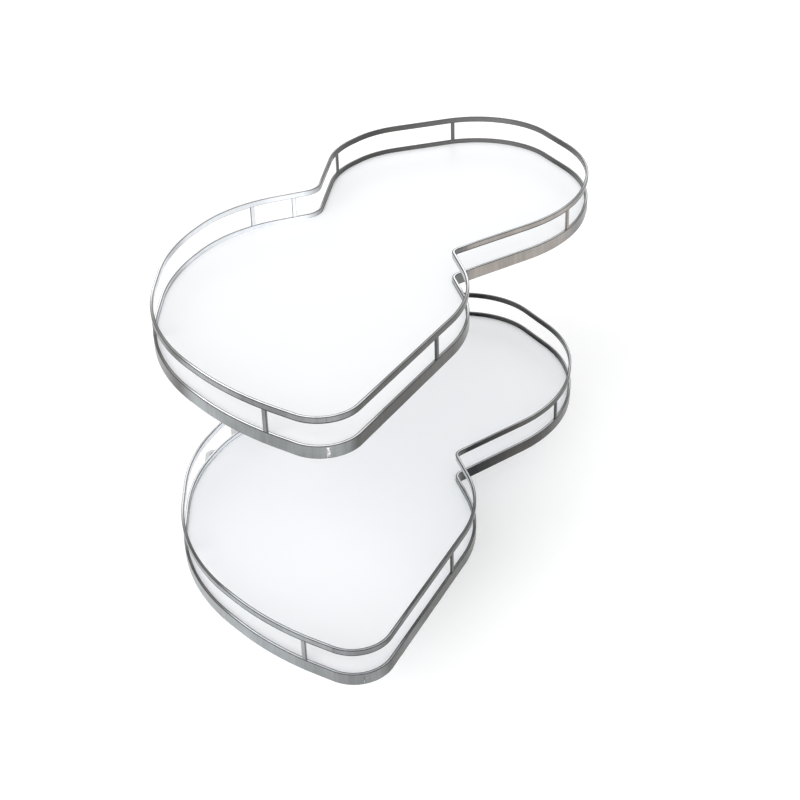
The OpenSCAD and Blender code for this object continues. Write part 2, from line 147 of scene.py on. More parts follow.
def edit(piece: bpy.types.Object, mode: str = "FACE", whole: bool = False) -> None:
    """Open a piece in edit mode.

    Args:
        piece: the piece.
        mode: VERT, EDGE or FACE.
        whole: whether all of it is selected, or nothing.
    """
    take(piece)
    bpy.ops.object.mode_set(mode="EDIT")
    bpy.ops.mesh.select_mode(type=mode)
    bpy.ops.mesh.select_all(action="SELECT" if whole else "DESELECT")


def face_table(piece: bpy.types.Object) -> tuple[np.ndarray, np.ndarray]:
    """Centres and normals of a piece's faces.

    Args:
        piece: the piece.

    Returns:
        The centres and the normals, one row a face.
    """
    polygons = piece.data.polygons
    centres, normals = np.empty(3 * len(polygons)), np.empty(3 * len(polygons))
    polygons.foreach_get("center", centres)
    polygons.foreach_get("normal", normals)
    return centres.reshape(-1, 3), normals.reshape(-1, 3)


def pick_faces(piece: bpy.types.Object, chosen: np.ndarray) -> None:
    """Open a piece in edit mode with some of its faces selected.

    Args:
        piece: the piece.
        chosen: one truth value a face.
    """
    edit(piece)
    bpy.ops.object.mode_set(mode="OBJECT")
    piece.data.polygons.foreach_set("select", chosen.astype(bool))
    bpy.ops.object.mode_set(mode="EDIT")


def settle(piece: bpy.types.Object) -> bpy.types.Object:
    """Put a piece's place into its mesh.

    Args:
        piece: the piece.

    Returns:
        The piece.
    """
    take(piece)
    bpy.ops.object.transform_apply(location=True, rotation=True, scale=True)
    return piece


def apply_modifier(piece: bpy.types.Object, kind: str, **values: object) -> None:
    """Add a modifier and apply it.

    Args:
        piece: the piece.
        kind: the modifier's type.
        values: its settings by name.
    """
    take(piece)
    modifier = piece.modifiers.new(kind.lower(), kind)
    for name, value in values.items():
        setattr(modifier, name, value)
    bpy.ops.object.modifier_apply(modifier=modifier.name)


def cut(piece: bpy.types.Object, tool: bpy.types.Object) -> None:
    """Take a tool's shape out of a piece, and remove the tool."""
    apply_modifier(piece, "BOOLEAN", operation="DIFFERENCE", object=tool, solver="EXACT")
    bpy.data.objects.remove(tool)


def join(name: str, parts: Sequence[bpy.types.Object]) -> bpy.types.Object:
    """Join parts that stand apart into one piece.

    Args:
        name: the piece's name.
        parts: the parts, which are used up.

    Returns:
        The joined piece.
    """
    take(parts[0])
    for part in parts:
        part.select_set(True)
    bpy.ops.object.join()
    parts[0].name = name
    return parts[0]


def soften(piece: bpy.types.Object, width: float, segments: int = 2) -> bpy.types.Object:
    """Round a piece's sharp edges and shade it smooth between them, with flat faces left flat.

    Args:
        piece: the piece.
        width: how far the rounding reaches from an edge.
        segments: faces across the rounding.

    Returns:
        The piece.
    """
    if width > 0:
        apply_modifier(piece, "BEVEL", width=width, segments=segments, limit_method="ANGLE",
                       angle_limit=SHARP)
    take(piece)
    bpy.ops.object.shade_smooth_by_angle(angle=SHARP)
    apply_modifier(piece, "WEIGHTED_NORMAL", keep_sharp=True)
    return piece


def face_out(piece: bpy.types.Object) -> None:
    """Merge a closed shell's doubles and turn its faces outwards.

    Args:
        piece: the shell.
    """
    edit(piece, whole=True)
    bpy.ops.mesh.remove_doubles(threshold=SAME)
    bpy.ops.mesh.normals_make_consistent(inside=False)
    deselect()


def apart(piece: bpy.types.Object) -> list[bpy.types.Object]:
    """Part a piece into its loose solids.

    Args:
        piece: the piece, which is used up.

    Returns:
        The solids, each as an object of its own.
    """
    edit(piece, whole=True)
    bpy.ops.mesh.separate(type="LOOSE")
    bpy.ops.object.mode_set(mode="OBJECT")
    return list(bpy.context.selected_objects)


def middle(piece: bpy.types.Object) -> Vector:
    """Middle of the box round a piece."""
    spots = np.array([tuple(vertex.co) for vertex in piece.data.vertices])
    return Vector((spots.min(axis=0) + spots.max(axis=0)) / 2)


def copy_of(node: str, name: str) -> bpy.types.Object:
    """Merged copy of a CAD node's mesh, with its flat faces whole.

    Args:
        node: the CAD node.
        name: the new piece's name.

    Returns:
        The new piece.
    """
    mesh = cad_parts[node].data.copy()
    mesh.materials.clear()
    piece = bpy.data.objects.new(name, mesh)
    bpy.context.scene.collection.objects.link(piece)
    take(piece)
    bpy.ops.mesh.customdata_custom_splitnormals_clear()
    edit(piece, whole=True)
    bpy.ops.mesh.remove_doubles(threshold=SAME)
    bpy.ops.mesh.dissolve_limited(angle_limit=FLAT)
    deselect()
    return piece


def turned(name: str, profile: Sequence[tuple[float, float]],
           sides: int = 96) -> bpy.types.Object:
    """Round piece about the Z axis, spun from its profile.

    Args:
        name: the piece's name.
        profile: radius and height of each corner, closed by itself or from axis to axis.
        sides: faces round the axis.

    Returns:
        The new piece.
    """
    deselect()
    bpy.ops.mesh.primitive_circle_add(vertices=len(profile), radius=1)
    piece = bpy.context.object
    piece.name = name
    for vertex, (radius, height) in zip(piece.data.vertices, profile):
        vertex.co = (radius, 0, height)
    if profile[0][0] == 0:
        edit(piece, mode="EDGE")
        bpy.ops.object.mode_set(mode="OBJECT")
        ends = {0, len(profile) - 1}
        for edge in piece.data.edges:
            edge.select = set(edge.vertices) == ends
        bpy.ops.object.mode_set(mode="EDIT")
        bpy.ops.mesh.delete(type="EDGE")
    edit(piece, mode="VERT", whole=True)
    bpy.ops.mesh.spin(steps=sides, angle=math.tau, center=(0, 0, 0), axis=(0, 0, 1))
    deselect()
    face_out(piece)
    return piece


def weld_bead(name: str, radius: float, height: float, size: float,
              ripples: int) -> bpy.types.Object:
    """Rippled weld round an upright wall, under a plate.

    Args:
        name: the piece's name.
        radius: the wall's radius.
        height: the plate's underside.
        size: how far the bead reaches from the corner.
        ripples: waves round the bead.

    Returns:
        The new piece.
    """
    buried, near, far = size * BEAD_BURIED, size * BEAD_NEAR, size * BEAD_FAR
    piece = turned(name, (
        (radius - buried, height + buried), (radius - buried, height - size),
        (radius + near, height - far), (radius + far, height - near),
        (radius + size, height + buried)), ripples * RIPPLE_SIDES)
    for vertex in piece.data.vertices:
        away = math.hypot(vertex.co.x, vertex.co.y)
        if away > radius:
            wave = math.cos(ripples * math.atan2(vertex.co.y, vertex.co.x))
            share = 1 + size * BEAD_RIPPLE * wave / away
            vertex.co.x, vertex.co.y = vertex.co.x * share, vertex.co.y * share
    return piece


def block(name: str, low: Sequence[float], high: Sequence[float]) -> bpy.types.Object:
    """Plain block between two corners.

    Args:
        name: the piece's name.
        low: the corner with the smallest coordinates.
        high: the corner with the largest coordinates.

    Returns:
        The new piece.
    """
    deselect()
    centre = [(a + b) / 2 for a, b in zip(low, high)]
    bpy.ops.mesh.primitive_cube_add(size=1, location=centre)
    piece = bpy.context.object
    piece.name = name
    piece.scale = [b - a for a, b in zip(low, high)]
    return settle(piece)


def move(piece: bpy.types.Object, place: Matrix) -> bpy.types.Object:
    """Move a piece from the origin to its place, in its mesh."""
    piece.matrix_world = place
    return settle(piece)


def again(piece: bpy.types.Object, place: Matrix) -> bpy.types.Object:
    """Copy of a piece, with its own mesh, moved to a place.

    Args:
        piece: the piece at the origin.
        place: the copy's place.

    Returns:
        The copy.
    """
    copy = piece.copy()
    copy.data = piece.data.copy()
    bpy.context.scene.collection.objects.link(copy)
    return move(copy, place)


def show(piece: bpy.types.Object, body: Body, slot: str, finish: "Finish", *nodes: str,
         patches: Sequence[tuple["Finish", np.ndarray]] = ()) -> None:
    """Dress a finished piece and hang it on its body.

    Args:
        piece: the finished piece.
        body: the body that it rides on.
        slot: the record's material slot; not used.
        finish: the finish.
        nodes: the CAD nodes that it stands for.
        patches: other finishes of the same slot, each with the faces that have it; on the bands
            they are painted reflection, highlight and shade copies of the steel.
    """
    piece.data.materials.clear()
    piece.data.materials.append(finish.material())
    for patch, chosen in patches:
        piece.data.materials.append(patch.material())
        pick_faces(piece, chosen)
        piece.active_material_index = len(piece.data.materials) - 1
        bpy.ops.object.material_slot_assign()
        deselect()
    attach(piece, body.value)
    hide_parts(*nodes)
    LOG.info("%s rides on %s: %d faces", piece.name, body.value, len(piece.data.polygons))


# Shader groups that the finishes share


class Socket(Enum):
    """Kinds of socket on a shader group."""

    VALUE = "NodeSocketFloat"
    VECTOR = "NodeSocketVector"


def new_group(name: str, inputs: dict[str, Socket], outputs: Sequence[str]) -> bpy.types.NodeTree:
    """Empty shader group with its sockets, its input node and its output node.

    Args:
        name: the group's name.
        inputs: name and kind of each input.
        outputs: names of the outputs, which are all values.

    Returns:
        The group's tree.
    """
    tree = bpy.data.node_groups.new(name, "ShaderNodeTree")
    for label, kind in inputs.items():
        tree.interface.new_socket(label, in_out="INPUT", socket_type=kind.value)
    for label in outputs:
        tree.interface.new_socket(label, in_out="OUTPUT", socket_type=Socket.VALUE.value)
    tree.nodes.new("NodeGroupInput")
    tree.nodes.new("NodeGroupOutput")
    return tree


def node(tree: bpy.types.NodeTree, kind: str, **values: object) -> bpy.types.Node:
    """New node in a tree.

    Args:
        tree: the node tree.
        kind: the node's type, without ShaderNode.
        values: properties by name, and inputs by name or number with a leading "in_".

    Returns:
        The new node.
    """
    made = tree.nodes.new("ShaderNode" + kind)
    for name, value in values.items():
        if not name.startswith("in_"):
            setattr(made, name, value)
            continue
        key = name[3:].replace("_", " ")
        key = int(key) if key.isdigit() else key
        if isinstance(value, bpy.types.NodeSocket):
            tree.links.new(value, made.inputs[key])
        else:
            made.inputs[key].default_value = value
    return made


@cache
def grain_group() -> bpy.types.NodeTree:
    """Long fine lines on a map of length and width, with cross streaks and patches.

    Returns:
        The group's tree.
    """
    tree = new_group("grain", {"Map": Socket.VECTOR, "Along": Socket.VALUE, "Across": Socket.VALUE,
                               "Streak": Socket.VALUE, "Patch": Socket.VALUE},
                     ("Lines", "Streaks", "Patches"))
    give, take_in = tree.nodes["Group Output"], tree.nodes["Group Input"]
    stretch = node(tree, "CombineXYZ", in_0=take_in.outputs["Along"],
                   in_1=take_in.outputs["Across"])
    upright = node(tree, "CombineXYZ", in_0=take_in.outputs["Streak"],
                   in_1=take_in.outputs["Patch"])
    for label, scale, detail in (("Lines", stretch.outputs[0], 5.0),
                                 ("Streaks", upright.outputs[0], 3.0),
                                 ("Patches", take_in.outputs["Patch"], 3.0)):
        laid = node(tree, "VectorMath", operation="MULTIPLY", in_0=take_in.outputs["Map"],
                    in_1=scale)
        noise = node(tree, "TexNoise", noise_dimensions="2D", in_Vector=laid.outputs[0],
                     in_Scale=1.0, in_Detail=detail, in_Roughness=0.6)
        tree.links.new(noise.outputs[0], give.inputs[label])
    return tree


@cache
def skin_group() -> bpy.types.NodeTree:
    """Fine pebbled skin with slow smudges, on object coordinates.

    Returns:
        The group's tree.
    """
    tree = new_group("skin", {"Map": Socket.VECTOR, "Pebble": Socket.VALUE,
                              "Smudge": Socket.VALUE}, ("Pebbles", "Smudges", "Flecks"))
    give, take_in = tree.nodes["Group Output"], tree.nodes["Group Input"]
    pebbles = node(tree, "TexNoise", in_Vector=take_in.outputs["Map"],
                   in_Scale=take_in.outputs["Pebble"], in_Detail=2.0, in_Roughness=0.55)
    smudges = node(tree, "TexNoise", in_Vector=take_in.outputs["Map"],
                   in_Scale=take_in.outputs["Smudge"], in_Detail=4.0, in_Roughness=0.6,
                   in_Distortion=0.6)
    cells = node(tree, "TexVoronoi", feature="F1", in_Vector=take_in.outputs["Map"],
                 in_Scale=take_in.outputs["Pebble"])
    for source, label in ((pebbles, "Pebbles"), (smudges, "Smudges"), (cells, "Flecks")):
        tree.links.new(source.outputs[0], give.inputs[label])
    return tree


MAP_NAME = "Length"


@dataclass(frozen=True)
class Finish:
    """A finish with a little variation in colour, gloss and height.

    The colour runs from dark to light, and the roughness from glossy to dull.
    """

    name: str
    dark: tuple[float, float, float]
    light: tuple[float, float, float]
    glossy: float
    dull: float
    metallic: float = 0.0
    pebble: float = 900.0
    smudge: float = 12.0
    height: float = 0.0
    coat: float = 0.0
    flecks: bool = False

    @cache
    def material(self) -> bpy.types.Material:
        """The finish as a material.

        Returns:
            The material, made once.
        """
        made = bpy.data.materials.new(self.name)
        made.use_nodes = True
        tree = made.node_tree
        shader = tree.nodes["Principled BSDF"]
        shader.inputs["Metallic"].default_value = self.metallic
        shader.inputs["Coat Weight"].default_value = self.coat
        shader.inputs["Coat Roughness"].default_value = self.glossy
        colour, gloss, relief = self.pattern(tree)
        rough = node(tree, "MapRange", in_Value=gloss, in_3=self.glossy, in_4=self.dull)
        tree.links.new(self.tint(tree, colour), shader.inputs["Base Color"])
        tree.links.new(rough.outputs[0], shader.inputs["Roughness"])
        if self.height > 0:
            bump = node(tree, "Bump", in_Strength=1.0, in_Distance=self.height, in_Height=relief)
            tree.links.new(bump.outputs[0], shader.inputs["Normal"])
        return made

    def tint(self, tree: bpy.types.NodeTree, share: bpy.types.NodeSocket) -> bpy.types.NodeSocket:
        """Colour between dark and light.

        Args:
            tree: the material's tree.
            share: socket with the share of the light colour.

        Returns:
            The colour's socket.
        """
        mixed = node(tree, "Mix", data_type="RGBA", in_0=share)
        mixed.inputs[6].default_value = (*self.dark, 1)
        mixed.inputs[7].default_value = (*self.light, 1)
        return mixed.outputs[2]

    def pattern(self, tree: bpy.types.NodeTree) -> tuple[bpy.types.NodeSocket, ...]:
        """Sockets that drive the colour, the gloss and the height.

        Args:
            tree: the material's tree.

        Returns:
            The three sockets.
        """
        place = node(tree, "TexCoord")
        skin = tree.nodes.new("ShaderNodeGroup")
        skin.node_tree = skin_group()
        tree.links.new(place.outputs["Object"], skin.inputs["Map"])
        skin.inputs["Pebble"].default_value = self.pebble
        skin.inputs["Smudge"].default_value = self.smudge
        colour = skin.outputs["Flecks" if self.flecks else "Smudges"]
        return colour, skin.outputs["Smudges"], skin.outputs["Pebbles"]


class PaintedReflectionTone(Enum):
    """Painted reflection tones of the steel strip round a tray: colours that stand in for the light
    and shade it would mirror.
    """

    DEEP = (0.032, 0.034, 0.035)
    EDGE = (0.068, 0.068, 0.070)
    DARK = (0.10, 0.098, 0.094)
    GREY = (0.18, 0.18, 0.178)
    SATIN = (0.29, 0.302, 0.308)
    LIGHT = (0.345, 0.365, 0.375)
    WARM = (0.355, 0.327, 0.305)
    PALE = (0.58, 0.59, 0.60)
    WHITE = (0.90, 0.92, 0.945)


PaintedReflectionSweep = tuple[tuple[float, PaintedReflectionTone], ...]


@dataclass(frozen=True)
class GrainedFinish(Finish):
    """A metal finish with its grain along the piece's own map.

    With a sweep it takes painted reflection from the length along the outline: each entry is a
    length in metres and the painted tone there, standing in for mirrored light and shade, and the
    dark and the light colour only shade that tone.
    """

    along: float = 9.0
    across: float = 5200.0
    streak: float = 150.0
    patch: float = 9.0
    shares: tuple[float, float, float] = (0.3, 0.2, 0.5)
    # Lengths along the outline and the painted reflection tones there
    sweep: PaintedReflectionSweep = ()
    around: float = 2.315

    def tint(self, tree: bpy.types.NodeTree, share: bpy.types.NodeSocket) -> bpy.types.NodeSocket:
        """Colour between dark and light, multiplied by the painted reflection tone at this length.

        Args:
            tree: the material's tree.
            share: socket with the share of the light colour.

        Returns:
            The colour's socket.
        """
        shade = super().tint(tree, share)
        if not self.sweep:
            return shade
        # Painted reflection and shade: the tone at this length along the outline multiplies the
        # colour
        place = node(tree, "UVMap", uv_map=MAP_NAME)
        length = node(tree, "SeparateXYZ", in_0=place.outputs[0])
        turns = node(tree, "Math", operation="DIVIDE", in_0=length.outputs[0], in_1=self.around)
        way = node(tree, "Math", operation="FRACT", in_0=turns.outputs[0])
        ramp = node(tree, "ValToRGB", in_0=way.outputs[0])
        ramp.color_ramp.interpolation = "EASE"
        stops = ramp.color_ramp.elements
        for stop in stops:
            stop.color = (*self.sweep[0][1].value, 1)
        for run, tone in self.sweep[1:]:
            stops.new(run / self.around).color = (*tone.value, 1)
        both = node(tree, "Mix", data_type="RGBA", blend_type="MULTIPLY", in_0=1.0, in_6=shade,
                    in_7=ramp.outputs[0])
        return both.outputs[2]

    def pattern(self, tree: bpy.types.NodeTree) -> tuple[bpy.types.NodeSocket, ...]:
        """Sockets that drive the colour, the gloss and the height, on the map along the piece.

        Args:
            tree: the material's tree.

        Returns:
            The three sockets.
        """
        place = node(tree, "UVMap", uv_map=MAP_NAME)
        grain = tree.nodes.new("ShaderNodeGroup")
        grain.node_tree = grain_group()
        tree.links.new(place.outputs[0], grain.inputs["Map"])
        for label, value in (("Along", self.along), ("Across", self.across),
                             ("Streak", self.streak), ("Patch", self.patch)):
            grain.inputs[label].default_value = value
        mixed = 0.0
        for label, share in zip(("Lines", "Streaks", "Patches"), self.shares):
            part = node(tree, "Math", operation="MULTIPLY_ADD", in_0=grain.outputs[label],
                        in_1=share, in_2=mixed)
            mixed = part.outputs[0]
        spread = node(tree, "MapRange", in_Value=mixed, in_1=GRAIN_SPAN[0],
                      in_2=GRAIN_SPAN[1])
        return spread.outputs[0], mixed, grain.outputs["Lines"]


# Roughness of satin strip and of the glossier strip on the inner and top faces, whose lighter
# colour is painted reflection
SATIN = (0.22, 0.40)
BRIGHT = (0.16, 0.30)
# Height of the grain of satin strip and of the glossier strip
SATIN_GRAIN = 0.000012
BRIGHT_GRAIN = 0.000006


def strip(name: str, rough: tuple[float, float], height: float, *sweep: tuple[float, PaintedReflectionTone],
          depth: float = 0.3) -> GrainedFinish:
    """Steel strip with painted reflection, whose tone changes round the tray.

    Args:
        name: the finish's name.
        rough: its least and its most roughness.
        height: height of its grain.
        sweep: lengths along the outline and the painted reflection tones there.
        depth: how far its grain goes above and below the tone.

    Returns:
        The finish.
    """
    return GrainedFinish(name, (1 - depth,) * 3, (1 + depth * GRAIN_LIFT,) * 3, *rough,
                         metallic=1.0, height=height, sweep=sweep)


# Painted reflection on the bands' outer faces: darker and warmer where the steel would mirror
# shade, lighter where it would mirror bright surroundings
OUTER_STEEL_PAINTED_REFLECTION = {
    Tier.UPPER: strip(
        "upper_outer_steel_painted_reflection", SATIN, SATIN_GRAIN, (0.0, PaintedReflectionTone.SATIN), (0.055, PaintedReflectionTone.SATIN),
        (0.08, PaintedReflectionTone.DARK), (0.33, PaintedReflectionTone.DARK), (0.39, PaintedReflectionTone.LIGHT), (0.45, PaintedReflectionTone.GREY),
        (0.50, PaintedReflectionTone.GREY), (0.52, PaintedReflectionTone.WARM), (0.67, PaintedReflectionTone.WARM), (0.74, PaintedReflectionTone.GREY),
        (0.82, PaintedReflectionTone.DARK), (1.0, PaintedReflectionTone.SATIN), (1.98, PaintedReflectionTone.SATIN), (2.06, PaintedReflectionTone.GREY),
        (2.11, PaintedReflectionTone.DARK), (2.15, PaintedReflectionTone.LIGHT), (2.26, PaintedReflectionTone.SATIN)),
    Tier.LOWER: strip(
        "lower_outer_steel_painted_reflection", SATIN, SATIN_GRAIN, (0.0, PaintedReflectionTone.SATIN), (0.055, PaintedReflectionTone.SATIN),
        (0.08, PaintedReflectionTone.DARK), (0.14, PaintedReflectionTone.GREY), (0.18, PaintedReflectionTone.DARK), (0.33, PaintedReflectionTone.DARK),
        (0.39, PaintedReflectionTone.SATIN), (0.48, PaintedReflectionTone.GREY), (0.51, PaintedReflectionTone.DEEP), (0.62, PaintedReflectionTone.DARK),
        (0.80, PaintedReflectionTone.DARK), (0.95, PaintedReflectionTone.SATIN), (1.98, PaintedReflectionTone.LIGHT), (2.20, PaintedReflectionTone.LIGHT)),
}
# Painted reflection on the bands' inner faces: lighter where they would mirror the white board,
# darker where they would mirror shade
INNER_STEEL_PAINTED_REFLECTION = {
    Tier.UPPER: strip(
        "upper_inner_steel_painted_reflection", BRIGHT, BRIGHT_GRAIN, (0.0, PaintedReflectionTone.PALE), (0.74, PaintedReflectionTone.LIGHT),
        (0.86, PaintedReflectionTone.GREY), (0.94, PaintedReflectionTone.DARK), (1.02, PaintedReflectionTone.GREY), (1.35, PaintedReflectionTone.DARK),
        (1.52, PaintedReflectionTone.GREY), (1.57, PaintedReflectionTone.WHITE), (1.77, PaintedReflectionTone.WHITE), (1.82, PaintedReflectionTone.PALE),
        (1.90, PaintedReflectionTone.WHITE), (2.02, PaintedReflectionTone.PALE), depth=0.1),
    Tier.LOWER: strip(
        "lower_inner_steel_painted_reflection", BRIGHT, BRIGHT_GRAIN, (0.0, PaintedReflectionTone.PALE), (0.74, PaintedReflectionTone.LIGHT),
        (0.86, PaintedReflectionTone.GREY), (0.91, PaintedReflectionTone.DEEP), (0.97, PaintedReflectionTone.DEEP), (1.03, PaintedReflectionTone.DARK),
        (1.10, PaintedReflectionTone.DEEP), (1.35, PaintedReflectionTone.DARK), (1.52, PaintedReflectionTone.GREY), (1.60, PaintedReflectionTone.WHITE),
        (1.97, PaintedReflectionTone.WHITE), (2.05, PaintedReflectionTone.PALE), depth=0.1),
}
# Painted highlight and reflection on the tops of the bands: near-white where they would catch the
# lamps, darker elsewhere
TOP_STEEL_PAINTED_HIGHLIGHT = strip(
    "top_steel_painted_highlight", BRIGHT, BRIGHT_GRAIN, (0.0, PaintedReflectionTone.WHITE), (0.09, PaintedReflectionTone.PALE), (0.14, PaintedReflectionTone.GREY),
    (0.35, PaintedReflectionTone.GREY), (0.42, PaintedReflectionTone.PALE), (0.50, PaintedReflectionTone.PALE), (0.53, PaintedReflectionTone.SATIN),
    (0.67, PaintedReflectionTone.SATIN), (0.74, PaintedReflectionTone.DARK), (0.80, PaintedReflectionTone.SATIN), (0.85, PaintedReflectionTone.SATIN),
    (0.90, PaintedReflectionTone.DARK), (1.50, PaintedReflectionTone.DARK), (1.57, PaintedReflectionTone.PALE), (1.93, PaintedReflectionTone.PALE),
    (2.00, PaintedReflectionTone.GREY), (2.04, PaintedReflectionTone.DARK), (2.12, PaintedReflectionTone.GREY), (2.17, PaintedReflectionTone.WHITE), depth=0.15)
# Painted shade: dark lines on the rounded edges, the inner rim of the tops and the rail's lower
# strip; it also darkens the rail's hairline joint
PAINTED_EDGE_SHADE_AND_DARK_JOINT = strip(
    "painted_edge_shade_and_dark_joint", (0.28, 0.44), BRIGHT_GRAIN, (0.0, PaintedReflectionTone.EDGE), (1.52, PaintedReflectionTone.EDGE),
    (1.60, PaintedReflectionTone.GREY), (1.95, PaintedReflectionTone.GREY), (2.03, PaintedReflectionTone.EDGE), depth=0.25)
# The skirt's joint groove: polished weld, with near-white patches that are painted highlight
WELD_AND_PAINTED_HIGHLIGHT = GrainedFinish("polished_weld_painted_highlight", (0.16, 0.16, 0.158), (0.98, 0.985, 0.99), 0.12,
                              0.24, metallic=1.0, height=0.00003, patch=190.0,
                              shares=(0.1, 0.0, 0.9))
WHITE_LAMINATE = Finish("white_laminate", (0.895, 0.91, 0.93), (0.925, 0.935, 0.95), 0.34, 0.46,
                        pebble=1500.0, smudge=5.0, height=0.00001)
SILVER_PAINT = Finish("silver_paint", (0.44, 0.45, 0.46), (0.60, 0.61, 0.62), 0.34, 0.48,
                      metallic=0.6, pebble=1300.0, height=0.00003, flecks=True)
POST_CHROME = Finish("post_chrome", (0.62, 0.63, 0.65), (0.72, 0.73, 0.74), 0.06, 0.16,
                     metallic=1.0, smudge=26.0)
DARK_PLASTIC = Finish("dark_plastic", (0.028, 0.029, 0.031), (0.05, 0.05, 0.053), 0.38, 0.55,
                      pebble=1800.0, smudge=30.0, height=0.00003)
BUSH_PLASTIC = Finish("bush_plastic", (0.62, 0.60, 0.53), (0.72, 0.70, 0.63), 0.32, 0.5,
                      pebble=1500.0, smudge=40.0, height=0.00001)
PIN_STEEL = Finish("pin_steel", (0.42, 0.42, 0.43), (0.58, 0.58, 0.58), 0.16, 0.34,
                   metallic=1.0, smudge=60.0, pebble=2500.0, height=0.000004)
ZINC_SCREWS = Finish("zinc_screws", (0.48, 0.50, 0.53), (0.64, 0.65, 0.66), 0.24, 0.42,
                     metallic=1.0, smudge=90.0, pebble=3000.0, height=0.000004)
BLACK_STEEL = Finish("black_steel", (0.02, 0.02, 0.022), (0.055, 0.055, 0.06), 0.28, 0.5,
                     metallic=0.7, smudge=120.0, pebble=3000.0, height=0.000006)
RUBBER = Finish("rubber", (0.014, 0.014, 0.014), (0.03, 0.03, 0.03), 0.7, 0.88,
                pebble=2600.0, smudge=80.0, height=0.00002)


# Trays


@dataclass(frozen=True)
class Corner:
    """Corner of the tray's outline, as shares of the tray's length."""

    x_share: float
    y_share: float
    radius_share: float
    hollow: bool = False


@dataclass(frozen=True)
class Arc:
    """Arc that rounds a corner, in metres and radians; the sweep is negative in a hollow."""

    centre: Vector
    radius: float
    start: float
    sweep: float

    def at(self, share: float, inset: float = 0.0) -> Vector:
        """Point on the arc.

        Args:
            share: share of the sweep.
            inset: how far the outline is drawn in.

        Returns:
            The point.
        """
        radius = self.radius - math.copysign(inset, self.sweep)
        way = self.start + self.sweep * share
        return self.centre + radius * Vector((math.cos(way), math.sin(way)))


@dataclass(frozen=True)
class Outline:
    """Waisted outline of a tray round its pivot, counter-clockwise from its near tip."""

    pivot: tuple[float, float]
    turn: float
    length: float = 0.9
    sagitta: float = 0.00001
    corners: tuple[Corner, ...] = (
        Corner(-0.033, -0.496, 0.057), Corner(0.171, -0.177, 0.207),
        Corner(0.148, -0.040, 0.014, hollow=True), Corner(0.351, 0.084, 0.255),
        Corner(0.406, 0.273, 0.230), Corner(0.300, 0.520, 0.142), Corner(0.048, 0.456, 0.140),
        Corner(-0.022, 0.379, 0.165), Corner(-0.051, 0.210, 0.032, hollow=True),
        Corner(-0.196, 0.161, 0.212), Corner(-0.278, 0.013, 0.320), Corner(-0.291, -0.229, 0.344),
        Corner(-0.163, -0.402, 0.469),
    )

    @cache
    def arc(self, index: int) -> Arc:
        """Arc that rounds one corner.

        Args:
            index: the corner's number, which may run past the last.

        Returns:
            The arc.
        """
        count = len(self.corners)
        here, before, after = (
            self.length * Vector((c.x_share, c.y_share))
            for c in (self.corners[(index + step) % count] for step in (0, -1, 1)))
        corner = self.corners[index % count]
        back, on = (before - here).normalized(), (after - here).normalized()
        half = math.acos(back.dot(on)) / 2
        radius = corner.radius_share * self.length
        turn = Matrix.Rotation(self.turn, 2)
        centre = here + (back + on).normalized() * radius / math.sin(half)
        spoke = turn @ (here + back * radius / math.tan(half) - centre)
        sweep = (math.pi - 2 * half) * (-1 if corner.hollow else 1)
        return Arc(turn @ centre + Vector(self.pivot), radius, math.atan2(spoke.y, spoke.x), sweep)

    def points(self, inset: float = 0.0) -> list[Vector]:
        """Points along the outline, closer where it bends more.

        Args:
            inset: how far the outline is drawn in.

        Returns:
            The points.
        """
        found = []
        for index in range(len(self.corners)):
            arc = self.arc(index)
            step = 2 * math.acos(1 - self.sagitta / arc.radius)
            count = max(4, math.ceil(abs(arc.sweep) / step))
            found += [arc.at(k / count, inset) for k in range(count + 1)]
        return found

    def place(self, index: int, share: float) -> tuple[Vector, float]:
        """Place on the outline and the outward direction there.

        Args:
            index: the corner's number.
            share: share of the corner's arc, or 1 and more for the share of the run after it.

        Returns:
            The point and the angle.
        """
        arc = self.arc(index)
        if share <= 1:
            return arc.at(share), arc.start + arc.sweep * share
        first, last = arc.at(1), self.arc(index + 1).at(0)
        along = last - first
        return first.lerp(last, share - 1), math.atan2(along.y, along.x) - math.pi / 2

    def length_and_depth(self, spots: np.ndarray) -> tuple[np.ndarray, np.ndarray]:
        """Length along the outline and depth inside it, of many spots.

        Args:
            spots: one row of X and Y for each spot.

        Returns:
            The lengths and the depths.
        """
        ring = np.array([tuple(p) for p in self.points()])
        ahead = np.roll(ring, -1, axis=0) - ring
        size = np.linalg.norm(ahead, axis=1)
        start = np.concatenate([[0], np.cumsum(size)[:-1]])
        best, length = np.full(len(spots), np.inf), np.zeros(len(spots))
        for spot, way, span, behind in zip(ring, ahead, size, start):
            share = np.clip((spots - spot) @ way / span ** 2, 0, 1)
            away = np.linalg.norm(spots - spot - share[:, None] * way, axis=1)
            near = away < best
            best[near], length[near] = away[near], behind + share[near] * span
        return length, best

    @property
    def around(self) -> float:
        """Length all the way round."""
        ring = self.points()
        return sum((b - a).length for a, b in zip(ring, ring[1:] + ring[:1]))


